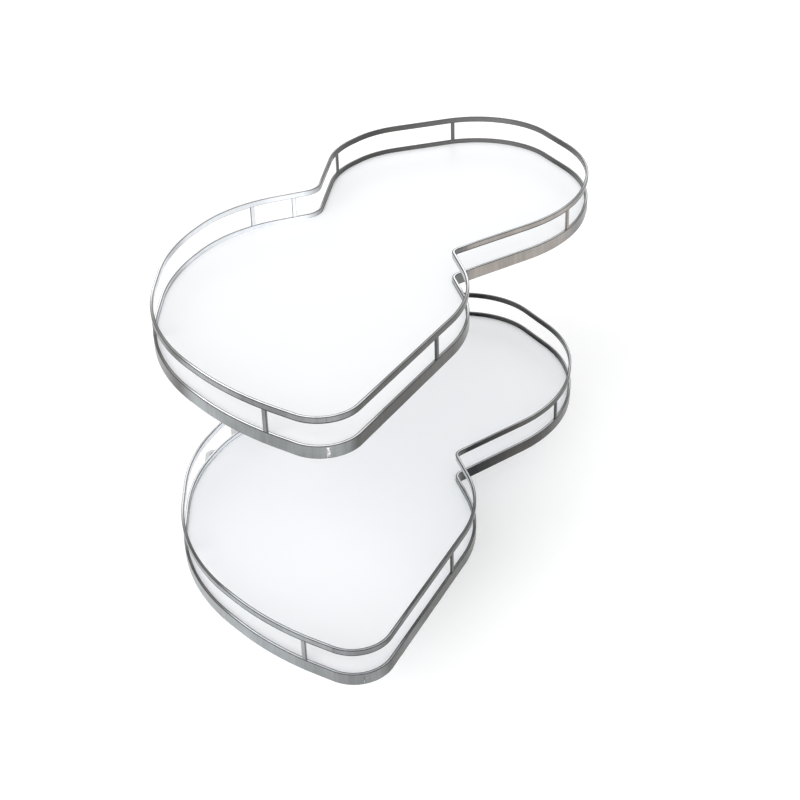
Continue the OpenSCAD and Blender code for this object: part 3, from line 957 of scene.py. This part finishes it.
@dataclass
class Tray:
    """A tray: board, skirt, rail and spacers, with the carrier, screws and bush under it."""

    tier: Tier
    turn: float
    seam_w: float
    band_t: float = 0.004
    lip_w: float = 0.009
    lip_t: float = 0.002
    board_gap: float = 0.0003
    band_edge: float = 0.0007
    band_strip: float = 0.0014
    rail_strip: float = 0.0016
    spacer_edge: float = 0.0005
    board_edge: float = 0.0006
    seam_depth: float = 0.0006
    seam_share: float = 0.46
    seam_floor: float = 0.8
    seam_below: float = 0.0018
    seam_seen: tuple[float, float] = (0.2, 1.2)
    hairline: float = 0.0004
    spacer: tuple[float, float] = (0.003, 0.006)
    spacer_shares: tuple[tuple[int, float], ...] = (
        (0, 1.83), (3, 0.51), (5, 0.95), (7, 0.56), (8, 1.41), (9, 0.26), (11, 0.28), (12, 0.87))
    shaft_h: float = 0.0103
    shaft_tip: float = 0.0021
    bead: float = 0.0045
    ripples: int = 44
    carrier_edge: float = 0.0005
    screw_edge: float = 0.00025
    head_shape: tuple[tuple[float, float], ...] = ((0.5, 1.0), (0.82, 0.8), (1.0, 0.42))
    shank_share: float = 0.5
    tip_share: float = 0.16
    screw_sides: int = 40
    recess: tuple[float, float, float] = (0.0011, 0.0052, 0.0019)
    outline: Outline = field(init=False)

    def __post_init__(self) -> None:
        """Work out the outline from the place of the pivot pin."""
        low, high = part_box(self.tier.node("pivot_pin"))
        self.outline = Outline(tuple(((low + high) / 2).to_2d()), self.turn)

    def build(self) -> None:
        """Build and dress every piece of the tray."""
        self.board()
        self.skirt()
        self.rail()
        self.spacers()
        self.carrier()
        self.carrier_screws()
        self.pivot_bush()

    def flat(self, name: str, inset: float, height: float) -> bpy.types.Object:
        """Flat face on the outline, at a height.

        Args:
            name: the piece's name.
            inset: how far the outline is drawn in.
            height: the face's height.

        Returns:
            The new piece.
        """
        points = self.outline.points(inset)
        deselect()
        bpy.ops.mesh.primitive_circle_add(vertices=len(points), radius=1, fill_type="NGON")
        piece = bpy.context.object
        piece.name = name
        for vertex, point in zip(piece.data.vertices, points):
            vertex.co = (point.x, point.y, height)
        return piece

    def raise_all(self, piece: bpy.types.Object, height: float) -> None:
        """Extrude a flat piece upwards into a closed one.

        Args:
            piece: the flat piece.
            height: how high it gets.
        """
        edit(piece, whole=True)
        bpy.ops.mesh.extrude_region_move(TRANSFORM_OT_translate={"value": (0, 0, height)})
        deselect()
        face_out(piece)

    def hollow_out(self, piece: bpy.types.Object, *widths: float) -> None:
        """Leave rings of a flat face.

        Args:
            piece: the flat face.
            widths: the rings' widths, from the outline inwards.
        """
        edit(piece, whole=True)
        for width in widths:
            bpy.ops.mesh.inset(thickness=width, depth=0, use_boundary=True, use_even_offset=True)
        bpy.ops.mesh.delete(type="FACE")
        deselect()

    def lay_map(self, piece: bpy.types.Object) -> None:
        """Give a band its map: length along the outline, and height plus depth across it.

        Args:
            piece: the band.
        """
        mesh = piece.data
        while mesh.uv_layers:
            mesh.uv_layers.remove(mesh.uv_layers[0])
        layer = mesh.uv_layers.new(name=MAP_NAME)
        spots = np.array([tuple(v.co) for v in mesh.vertices])
        length, depth = self.outline.length_and_depth(spots[:, :2])
        around = self.outline.around
        for face in mesh.polygons:
            lengths = [length[i] for i in face.vertices]
            over = max(lengths) - min(lengths) > around / 2
            for loop, index, run in zip(face.loop_indices, face.vertices, lengths):
                wrapped = run + around if over and run < around / 2 else run
                layer.data[loop].uv = (wrapped, spots[index, 2] + depth[index])

    def board(self) -> None:
        """White board that lies in the skirt."""
        low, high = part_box(self.tier.node("board"))
        piece = self.flat(self.tier.piece("board"), self.band_t + self.board_gap, low.z)
        self.raise_all(piece, high.z - low.z)
        soften(piece, self.board_edge)
        show(piece, self.tier.tray_body, "white_laminate", WHITE_LAMINATE, self.tier.node("board"))

    def skirt(self) -> None:
        """Deep band round the board, with the ledge that the board rests on."""
        low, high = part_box(self.tier.node("skirt"))
        piece = self.flat(self.tier.piece("skirt"), 0, low.z)
        self.hollow_out(piece, self.band_t, self.lip_w)
        self.raise_all(piece, self.lip_t)
        centres, normals = face_table(piece)
        depth = self.outline.length_and_depth(centres[:, :2])[1]
        pick_faces(piece, (depth < self.band_t) & (normals[:, 2] > STEEP))
        rise = high.z - low.z - self.lip_t
        bpy.ops.mesh.extrude_region_move(TRANSFORM_OT_translate={"value": (0, 0, rise)})
        deselect()
        self.finish_band(piece, "skirt", self.seam_w, WELD_AND_PAINTED_HIGHLIGHT)

    def rail(self) -> None:
        """Narrow band above the skirt."""
        low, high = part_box(self.tier.node("rail"))
        piece = self.flat(self.tier.piece("rail"), 0, low.z)
        self.hollow_out(piece, self.band_t)
        self.raise_all(piece, self.rail_strip)
        pick_faces(piece, face_table(piece)[1][:, 2] > STEEP)
        rise = high.z - low.z - self.rail_strip
        bpy.ops.mesh.extrude_region_move(TRANSFORM_OT_translate={"value": (0, 0, rise)})
        deselect()
        self.finish_band(piece, "rail", self.hairline, PAINTED_EDGE_SHADE_AND_DARK_JOINT)

    def on_edge(self, index: int, share: float) -> Matrix:
        """Place on the outline, with X pointing outwards."""
        point, way = self.outline.place(index, share)
        return Matrix.Translation((point.x, point.y, 0)) @ Matrix.Rotation(way, 4, "Z")

    def butt_joint(self, piece: bpy.types.Object, width: float, low: float, high: float) -> None:
        """Cut the shallow upright groove where the two ends of a band are welded.

        Args:
            piece: the band.
            width: the groove's width.
            low: the band's lowest height.
            high: the groove's upper end.
        """
        tool = block("groove", (-self.seam_depth, -width / 2, low - self.band_t),
                     (self.seam_depth, width / 2, high))
        for vertex in tool.data.vertices:
            if vertex.co.x < 0:
                vertex.co.y *= self.seam_floor
        cut(piece, move(tool, self.on_edge(0, self.seam_share)))

    def finish_band(self, piece: bpy.types.Object, stem: str, seam_w: float,
                    seam: GrainedFinish) -> None:
        """Round a band's edges, cut its joint, lay its map and dress it with painted reflection,
        highlight and shade.

        Args:
            piece: the band.
            stem: the stem of its CAD node.
            seam_w: width of its joint.
            seam: the joint's finish.
        """
        low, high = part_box(self.tier.node(stem))
        centres, normals = face_table(piece)
        pick_faces(piece, (normals[:, 2] > STEEP) & (centres[:, 2] > high.z - SAME))
        bpy.ops.mesh.inset(thickness=self.band_strip, depth=0, use_boundary=True,
                           use_even_offset=True)
        deselect()
        soften(piece, self.band_edge, 3)
        self.butt_joint(piece, seam_w, low.z, high.z - self.seam_below)
        soften(piece, 0)
        self.lay_map(piece)
        centres, normals = face_table(piece)
        depth = self.outline.length_and_depth(centres[:, :2])[1]
        level = np.abs(normals[:, 2])
        upright = level < LEVEL
        shallow, deep = (self.seam_depth * share for share in self.seam_seen)
        joint = upright & (depth > shallow) & (depth < deep)
        inner = depth > self.band_t / 2
        top = normals[:, 2] > STEEP
        # Painted shade: the rounded edges, the inner rim of each top and the rail's lower strip
        # take the dark edge finish
        lines = (level >= LEVEL) & (level <= STEEP)
        lines |= top & (depth > self.band_t - self.band_strip)
        if stem == "rail":
            lines |= upright & ~inner & (centres[:, 2] < low.z + self.rail_strip)
        # Painted reflection on outer and inner faces and painted highlight on the tops; the joint
        # takes the seam's finish
        show(piece, self.tier.tray_body, "satin_steel", OUTER_STEEL_PAINTED_REFLECTION[self.tier],
             self.tier.node(stem), patches=(
                 (INNER_STEEL_PAINTED_REFLECTION[self.tier], upright & inner), (seam, joint), (TOP_STEEL_PAINTED_HIGHLIGHT, top),
                 (PAINTED_EDGE_SHADE_AND_DARK_JOINT, lines)))

    def spacers(self) -> None:
        """Flat pieces that stand on the skirt and carry the rail."""
        low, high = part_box(self.tier.node("spacers"))
        thick, wide = self.spacer
        middle_t = -self.band_t / 2
        parts = []
        for number, (index, share) in enumerate(self.spacer_shares):
            part = block(f"spacer_{number}", (middle_t - thick / 2, -wide / 2, low.z),
                         (middle_t + thick / 2, wide / 2, high.z))
            self.round_upright(part)
            parts.append(move(part, self.on_edge(index, share)))
        piece = join(self.tier.piece("spacers"), parts)
        soften(piece, 0)
        self.lay_map(piece)
        centres, normals = face_table(piece)
        ahead = np.array([self.outward(spot) for spot in centres[:, :2]])
        facing = (normals[:, :2] * ahead).sum(axis=1)
        across = np.abs(facing)
        # Painted reflection on the spacers' faces, lighter on the inward ones, and painted shade on
        # their rounded edges
        show(piece, self.tier.tray_body, "satin_steel", OUTER_STEEL_PAINTED_REFLECTION[self.tier],
             self.tier.node("spacers"), patches=(
                 (INNER_STEEL_PAINTED_REFLECTION[self.tier], facing < -STEEP),
                 (PAINTED_EDGE_SHADE_AND_DARK_JOINT, (across >= LEVEL) & (across <= STEEP))))

    def round_upright(self, piece: bpy.types.Object) -> None:
        """Round a block's upright edges.

        Args:
            piece: the block.
        """
        edit(piece, mode="EDGE")
        bpy.ops.object.mode_set(mode="OBJECT")
        spots = [vertex.co for vertex in piece.data.vertices]
        for side in piece.data.edges:
            side.select = abs((spots[side.vertices[0]] - spots[side.vertices[1]]).z) > SAME
        bpy.ops.object.mode_set(mode="EDIT")
        bpy.ops.mesh.bevel(offset=self.spacer_edge, segments=3, affect="EDGES")
        deselect()

    def outward(self, spot: np.ndarray) -> tuple[float, float]:
        """Outward direction at the spacer nearest to a spot.

        Args:
            spot: X and Y of the spot.

        Returns:
            X and Y of the direction.
        """
        places = [self.outline.place(*share) for share in self.spacer_shares]
        way = min(places, key=lambda place: (place[0] - Vector(spot)).length)[1]
        return math.cos(way), math.sin(way)

    def carrier(self) -> None:
        """Plate with two bars, the pivot housing with its weld, and the slot."""
        piece = copy_of(self.tier.node("carrier"), self.tier.piece("carrier"))
        soften(piece, self.carrier_edge)
        low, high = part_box(self.tier.node("pivot_bush"))
        wall = (high.x - low.x) / 2
        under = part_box(self.tier.node("carrier_screws"))[0].z + SCREW_HEAD[1]
        weld = weld_bead("weld", wall, under, self.bead, self.ripples)
        centre = (low + high) / 2
        piece = join(piece.name, [piece, move(weld, Matrix.Translation((centre.x, centre.y, 0)))])
        show(piece, self.tier.tray_body, "silver_paint", SILVER_PAINT, self.tier.node("carrier"))

    def carrier_screws(self) -> None:
        """Pan-head screws from below through the carrier into the board."""
        stem = "carrier_screws"
        radius, height = SCREW_HEAD
        width, length, depth = self.recess
        shank, tip = radius * self.shank_share, radius * self.tip_share
        screw = turned("screw", (
            (0, -height), *((radius * wide, -height * deep) for wide, deep in self.head_shape),
            (radius, 0), (shank, 0), (shank, self.shaft_h - self.shaft_tip),
            (tip, self.shaft_h), (0, self.shaft_h)), self.screw_sides)
        for a, b in ((width, length), (length, width)):
            cut(screw, block("cross", (-a / 2, -b / 2, -2 * height),
                             (a / 2, b / 2, depth - height)))
        soften(screw, self.screw_edge)
        loose = apart(copy_of(self.tier.node(stem), "screw_places"))
        places = [middle(part) for part in loose]
        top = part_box(self.tier.node(stem))[0].z + height
        for part in loose:
            bpy.data.objects.remove(part)
        copies = [again(screw, Matrix.Translation((p.x, p.y, top)) @ Matrix.Rotation(k, 4, "Z"))
                  for k, p in enumerate(places)]
        bpy.data.objects.remove(screw)
        piece = join(self.tier.piece(stem), copies)
        show(piece, self.tier.tray_body, "zinc_screws", ZINC_SCREWS, self.tier.node(stem))

    def pivot_bush(self) -> None:
        """Flanged bush in the pivot housing."""
        low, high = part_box(self.tier.node("pivot_bush"))
        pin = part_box(self.tier.node("pivot_pin"))
        bore = (pin[1].x - pin[0].x) / 2 + RUN_GAP
        sleeve, flange = bore + BUSH_WALL, (high.x - low.x) / 2
        centre = (low + high) / 2
        piece = turned(self.tier.piece("pivot_bush"), (
            (bore, low.z), (flange, low.z), (flange, low.z + FLANGE_T), (sleeve, low.z + FLANGE_T),
            (sleeve, high.z), (bore, high.z)))
        soften(move(piece, Matrix.Translation((centre.x, centre.y, 0))), BUSH_EDGE)
        show(piece, self.tier.tray_body, "bush_plastic", BUSH_PLASTIC, self.tier.node("pivot_bush"))


@dataclass
class SwingArm:
    """A cast swing arm with its bushes, pivot pin, clip and stop pin."""

    tier: Tier
    hub_step: float = 0.001
    bar_h: float = 0.014
    pocket_depth: float = 0.004
    pocket_span: tuple[float, float] = (0.042, 0.190)
    pocket_half: float = 0.0125
    rib_half: float = 0.0065
    pocket_round: float = 0.0028
    cast_edge: float = 0.0012
    bush_bore: float = 0.01905
    bush_h: float = 0.016
    groove_r: float = 0.008
    groove_gap: float = 0.0001
    chamfer: float = 0.001
    fine_edge: float = 0.00015
    dome: float = 0.0012
    dome_edge: float = 0.0003
    dome_sides: int = 64

    def build(self) -> None:
        """Build and dress every piece of the arm."""
        self.casting()
        self.bushes()
        self.pivot_pin()
        self.clip()
        self.stop_pin()

    def hang(self, piece: bpy.types.Object, stem: str, slot: str, finish: Finish) -> None:
        """Dress a piece of the arm and hang it on the arm's body."""
        show(piece, self.tier.arm_body, slot, finish, self.tier.node(stem))

    def centre(self, stem: str) -> Matrix:
        """Place of an upright round node's axis."""
        low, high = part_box(self.tier.node(stem))
        return Matrix.Translation(((low.x + high.x) / 2, (low.y + high.y) / 2, 0))

    def casting(self) -> None:
        """Hub, bar and boss in one casting, with pockets above and below that leave a rib."""
        piece = copy_of(self.tier.node("arm"), self.tier.piece("arm"))
        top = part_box(self.tier.node("arm"))[1].z - self.hub_step
        foot = top - self.bar_h
        first, last = self.pocket_span
        half, rib, deep = self.pocket_half, self.rib_half, self.pocket_depth
        end = self.centre("pivot_pin").translation
        turn = Matrix.Rotation(math.atan2(end.y, end.x), 4, "Z")
        for side, near, far, low, high in (
                ("top", -half, half, top - deep, top + deep),
                ("left", rib, half, foot - deep, foot + deep),
                ("right", -half, -rib, foot - deep, foot + deep)):
            tool = block(side, (first, near, low), (last, far, high))
            apply_modifier(tool, "BEVEL", width=self.pocket_round, segments=4)
            cut(piece, move(tool, turn))
        soften(piece, self.cast_edge, 3)
        self.hang(piece, "arm", "silver_paint", SILVER_PAINT)

    def bushes(self) -> None:
        """Two flanged bushes in the hub."""
        low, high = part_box(self.tier.node("arm_bushes"))
        flange, bore = (high.x - low.x) / 2, self.bush_bore
        sleeve = bore + BUSH_WALL
        parts = []
        for name, face, way in (("under", low.z, 1), ("over", high.z, -1)):
            part = turned(name, (
                (bore, face), (flange, face), (flange, face + way * FLANGE_T),
                (sleeve, face + way * FLANGE_T),
                (sleeve, face + way * (FLANGE_T + self.bush_h)),
                (bore, face + way * (FLANGE_T + self.bush_h))))
            parts.append(part)
        piece = join(self.tier.piece("arm_bushes"), parts)
        soften(piece, BUSH_EDGE)
        self.hang(piece, "arm_bushes", "bush_plastic", BUSH_PLASTIC)

    def pivot_pin(self) -> None:
        """Turned pin with chamfered ends and the clip's groove."""
        low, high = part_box(self.tier.node("pivot_pin"))
        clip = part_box(self.tier.node("pin_clip"))
        radius, chamfer = (high.x - low.x) / 2, self.chamfer
        groove = clip[0].z - self.groove_gap, clip[1].z + self.groove_gap
        piece = turned(self.tier.piece("pivot_pin"), (
            (0, low.z), (radius - chamfer, low.z), (radius, low.z + chamfer), (radius, groove[0]),
            (self.groove_r, groove[0]), (self.groove_r, groove[1]), (radius, groove[1]),
            (radius, high.z - chamfer), (radius - chamfer, high.z), (0, high.z)))
        soften(move(piece, self.centre("pivot_pin")), self.fine_edge)
        self.hang(piece, "pivot_pin", "pin_steel", PIN_STEEL)

    def clip(self) -> None:
        """Open clip in the pin's groove."""
        piece = copy_of(self.tier.node("pin_clip"), self.tier.piece("pin_clip"))
        soften(piece, self.fine_edge)
        self.hang(piece, "pin_clip", "black_steel", BLACK_STEEL)

    def stop_pin(self) -> None:
        """Turned stop pin with domed ends."""
        low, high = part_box(self.tier.node("stop_pin"))
        radius, dome = (high.x - low.x) / 2, self.dome
        piece = turned(self.tier.piece("stop_pin"), (
            (0, low.z), (radius - dome, low.z), (radius, low.z + dome), (radius, high.z - dome),
            (radius - dome, high.z), (0, high.z)), self.dome_sides)
        soften(move(piece, self.centre("stop_pin")), self.dome_edge)
        self.hang(piece, "stop_pin", "pin_steel", PIN_STEEL)


@dataclass
class Stand:
    """Floor plate, post, cap, wall bracket, collars, keeper ring, clamp screws and buffers."""

    foot_t: float = 0.006
    foot_holes: tuple[float, float] = (0.124, 0.054)
    foot_hole_r: float = 0.00325
    bracket_holes_x: tuple[float, float] = (-0.067, -0.037)
    bracket_holes_z: tuple[float, float] = (0.234, 0.270)
    bracket_inner_y: float = -0.037
    bracket_hole_r: float = 0.00275
    foot_edge: float = 0.0008
    bracket_edge: float = 0.001
    sink_shares: tuple[float, float] = (0.9, 2.0)
    sink_sides: int = 48
    collar_edge: float = 0.0007
    post_wall: float = 0.0025
    post_edge: float = 0.0004
    post_sides: int = 128
    plug_r: float = 0.01645
    cap_t: float = 0.004
    cap_edge: float = 0.0009
    dish: float = 0.0008
    dish_shares: tuple[float, float] = (0.78, 0.94)
    grub: tuple[float, float] = (0.003, 0.0076)
    hex_r: float = 0.00173
    hex_depth: float = 0.0034
    grub_point: float = 0.6
    grub_edge: float = 0.0003
    grub_sides: int = 40

    def build(self) -> None:
        """Build and dress every piece of the stand."""
        self.foot()
        self.post_tube()
        self.cap()
        self.panel_bracket()
        for node_name, name in (("collar_lower", "lower_collar"), ("collar_upper", "upper_collar"),
                                ("keeper_ring", "keeper")):
            piece = copy_of(node_name, name)
            soften(piece, self.collar_edge, 3)
            show(piece, Body.BASE, "silver_paint", SILVER_PAINT, node_name)
        self.grub_screws()
        piece = copy_of("stop_buffers", "buffers")
        soften(piece, self.collar_edge, 3)
        show(piece, Body.BASE, "rubber", RUBBER, "stop_buffers")

    def sink(self, piece: bpy.types.Object, radius: float, place: Matrix) -> None:
        """Cut a countersink.

        Args:
            piece: the piece with the hole.
            radius: the hole's radius.
            place: the middle of the wide end, with Z along the axis and out of the surface.
        """
        narrow, wide = (radius * share for share in self.sink_shares)
        tool = turned("countersink", ((0, -radius), (narrow, -radius), (wide, 0),
                                      (wide, radius), (0, radius)), self.sink_sides)
        cut(piece, move(tool, place))

    def foot(self) -> None:
        """Floor plate with countersunk holes and its spigot."""
        piece = copy_of("floor_plate", "foot")
        length, width = self.foot_holes
        for x in (-length / 2, length / 2):
            for y in (-width / 2, width / 2):
                self.sink(piece, self.foot_hole_r, Matrix.Translation((x, y, self.foot_t)))
        soften(piece, self.foot_edge, 3)
        show(piece, Body.BASE, "silver_paint", SILVER_PAINT, "floor_plate")

    def post_tube(self) -> None:
        """Chrome-plated tube."""
        low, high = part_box("post")
        outer = (high.x - low.x) / 2
        inner = outer - self.post_wall
        piece = turned("post_tube", ((inner, low.z), (outer, low.z), (outer, high.z),
                                     (inner, high.z)), self.post_sides)
        soften(piece, self.post_edge)
        show(piece, Body.BASE, "post_chrome", POST_CHROME, "post")

    def cap(self) -> None:
        """Moulded cap with a shallow dish on top and a plug in the tube."""
        low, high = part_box("post_cap")
        radius = (high.x - low.x) / 2
        seat, rim = high.z - self.cap_t, radius * self.dish_shares[0]
        hollow = rim * self.dish_shares[1]
        piece = turned("cap", (
            (0, high.z - self.dish), (hollow, high.z - self.dish), (rim, high.z),
            (radius, high.z), (radius, seat), (self.plug_r, seat), (self.plug_r, low.z),
            (0, low.z)))
        soften(piece, self.cap_edge, 4)
        show(piece, Body.BASE, "dark_plastic", DARK_PLASTIC, "post_cap")

    def panel_bracket(self) -> None:
        """Bracket with countersunk holes that holds the post to the fixed panel."""
        piece = copy_of("wall_bracket", "panel_bracket")
        flat_on = Matrix.Rotation(math.radians(-90), 4, "X")
        for x in self.bracket_holes_x:
            for z in self.bracket_holes_z:
                place = Matrix.Translation((x, self.bracket_inner_y, z)) @ flat_on
                self.sink(piece, self.bracket_hole_r, place)
        soften(piece, self.bracket_edge, 3)
        show(piece, Body.BASE, "silver_paint", SILVER_PAINT, "wall_bracket")

    def grub_screws(self) -> None:
        """Clamp screws with hexagon sockets, which point at the post."""
        radius, length = self.grub
        point = radius * self.grub_point
        screw = turned("grub", ((0, -length / 2), (point, -length / 2), (radius, -length / 3),
                                (radius, length / 2), (0, length / 2)), self.grub_sides)
        deselect()
        bpy.ops.mesh.primitive_cylinder_add(vertices=6, radius=self.hex_r, depth=2 * self.hex_depth,
                                            location=(0, 0, length / 2))
        cut(screw, settle(bpy.context.object))
        soften(screw, self.grub_edge)
        loose = apart(copy_of("clamp_screws", "screw_places"))
        places = [middle(part) for part in loose]
        for part in loose:
            bpy.data.objects.remove(part)
        copies = [again(screw, Matrix.Translation(p) @ Vector((p.x, p.y, 0)).to_track_quat("Z", "Y")
                        .to_matrix().to_4x4()) for p in places]
        bpy.data.objects.remove(screw)
        piece = join("grub_screws", copies)
        show(piece, Body.BASE, "black_steel", BLACK_STEEL, "clamp_screws")


# Studio


@dataclass(frozen=True)
class SoftSun:
    """Even soft light from far off, as through a wide diffuser.

    Its height above the horizon, its way to the right of straight in front and its spread are in
    degrees.
    """

    name: str
    height: float
    way: float
    spread: float
    power: float

    def hang(self) -> None:
        """Add the light to the scene."""
        data = bpy.data.lights.new(self.name, "SUN")
        data.angle = math.radians(self.spread)
        data.energy = self.power
        lamp = bpy.data.objects.new(self.name, data)
        lamp.rotation_euler = (math.radians(90 - self.height), 0, math.radians(self.way))
        bpy.context.scene.collection.objects.link(lamp)


@dataclass(frozen=True)
class Softbox:
    """Soft lamp that faces the middle of the object, with its size in metres and power in watts."""

    name: str
    place: tuple[float, float, float]
    size: tuple[float, float]
    power: float

    def hang(self) -> None:
        """Add the lamp to the scene."""
        low, high = CAD_BOX
        data = bpy.data.lights.new(self.name, "AREA")
        data.shape = "RECTANGLE"
        data.size, data.size_y = self.size
        data.energy = self.power
        lamp = bpy.data.objects.new(self.name, data)
        lamp.location = self.place
        ahead = (low + high) / 2 - Vector(self.place)
        lamp.rotation_euler = ahead.to_track_quat("-Z", "Y").to_euler()
        bpy.context.scene.collection.objects.link(lamp)


@dataclass
class Studio:
    """Pale floor, soft lamps, white surroundings and the camera."""

    floor_size: float = 40.0
    floor_colour: tuple[float, float, float] = (0.93, 0.93, 0.93)
    floor_white: float = 0.18
    soft_light: float = 0.58
    lamps: tuple[SoftSun | Softbox, ...] = (
        SoftSun("key_sun", 36.0, -40.0, 50.0, 1.35), SoftSun("front_sun", 26.0, 14.0, 60.0, 1.3),
        Softbox("back_softbox", (0.3, 3.2, 2.1), (3.6, 1.2), 14.0))
    lens: float = 64.37
    eye: tuple[float, float, float] = (0.1716, -1.9210, 1.3182)
    pitch: float = 27.797
    roll: float = -2.881
    shift: tuple[float, float] = (0.064, -0.134)

    def build(self) -> None:
        """Build the studio."""
        self.floor()
        self.world()
        for lamp in self.lamps:
            lamp.hang()
        self.camera()

    def floor(self) -> None:
        """Pale floor that keeps the shadow, white to the camera and clear from below."""
        deselect()
        bpy.ops.mesh.primitive_plane_add(size=self.floor_size)
        plane = bpy.context.object
        plane.name = "floor"
        made = bpy.data.materials.new("pale_floor")
        made.use_nodes = True
        tree = made.node_tree
        shader = tree.nodes["Principled BSDF"]
        shader.inputs["Base Color"].default_value = (*self.floor_colour, 1)
        shader.inputs["Roughness"].default_value = 1.0
        shader.inputs["Specular IOR Level"].default_value = 0.0
        shader.inputs["Emission Color"].default_value = (1, 1, 1, 1)
        lift = node(tree, "MapRange", in_Value=self.shown(tree), in_4=self.floor_white)
        tree.links.new(lift.outputs[0], shader.inputs["Emission Strength"])
        side = node(tree, "NewGeometry")
        clear = node(tree, "BsdfTransparent")
        mix = node(tree, "MixShader", in_0=side.outputs["Backfacing"], in_1=shader.outputs[0],
                   in_2=clear.outputs[0])
        tree.links.new(mix.outputs[0], tree.nodes["Material Output"].inputs["Surface"])
        plane.data.materials.append(made)

    def shown(self, tree: bpy.types.NodeTree) -> bpy.types.NodeSocket:
        """Mask of what the camera, a gloss or a glass shows.

        Args:
            tree: the node tree.

        Returns:
            Socket that is 1 for what they show, and else 0.
        """
        path = node(tree, "LightPath")
        seen = node(tree, "Math", operation="MAXIMUM", in_0=path.outputs["Is Camera Ray"],
                    in_1=path.outputs["Is Glossy Ray"])
        both = node(tree, "Math", operation="MAXIMUM", in_0=seen.outputs[0],
                    in_1=path.outputs["Is Transmission Ray"])
        return both.outputs[0]

    def world(self) -> None:
        """White surroundings, softer where they light the object."""
        world = bpy.data.worlds.new("studio")
        bpy.context.scene.world = world
        world.use_nodes = True
        tree = world.node_tree
        strength = node(tree, "MapRange", in_Value=self.shown(tree), in_3=self.soft_light, in_4=1.0)
        ground = tree.nodes["Background"]
        ground.inputs["Color"].default_value = (1, 1, 1, 1)
        tree.links.new(strength.outputs[0], ground.inputs["Strength"])

    def camera(self) -> None:
        """Camera at the photograph's viewing angle."""
        data = bpy.data.cameras.new("camera")
        data.lens = self.lens
        data.shift_x, data.shift_y = self.shift
        camera = bpy.data.objects.new("camera", data)
        bpy.context.scene.collection.objects.link(camera)
        tilt = Matrix.Rotation(math.radians(90 - self.pitch), 4, "X")
        lean = Matrix.Rotation(math.radians(self.roll), 4, "Z")
        camera.matrix_world = Matrix.Translation(self.eye) @ tilt @ lean
        bpy.context.scene.camera = camera


# Turn of each tray as the unit stands, and width of the joint in its skirt
TURNS = {Tier.LOWER: math.radians(3.5), Tier.UPPER: 0.0}
SEAM_WIDTHS = {Tier.LOWER: 0.0006, Tier.UPPER: 0.0042}


def main() -> None:
    """Build the unit and its studio."""
    logging.basicConfig(level=logging.INFO, format="%(message)s")
    bpy.context.scene.view_settings.view_transform = "Standard"
    Stand().build()
    for tier in Tier:
        SwingArm(tier).build()
        Tray(tier, TURNS[tier], SEAM_WIDTHS[tier]).build()
    Studio().build()


if __name__ == "__main__":
    main()
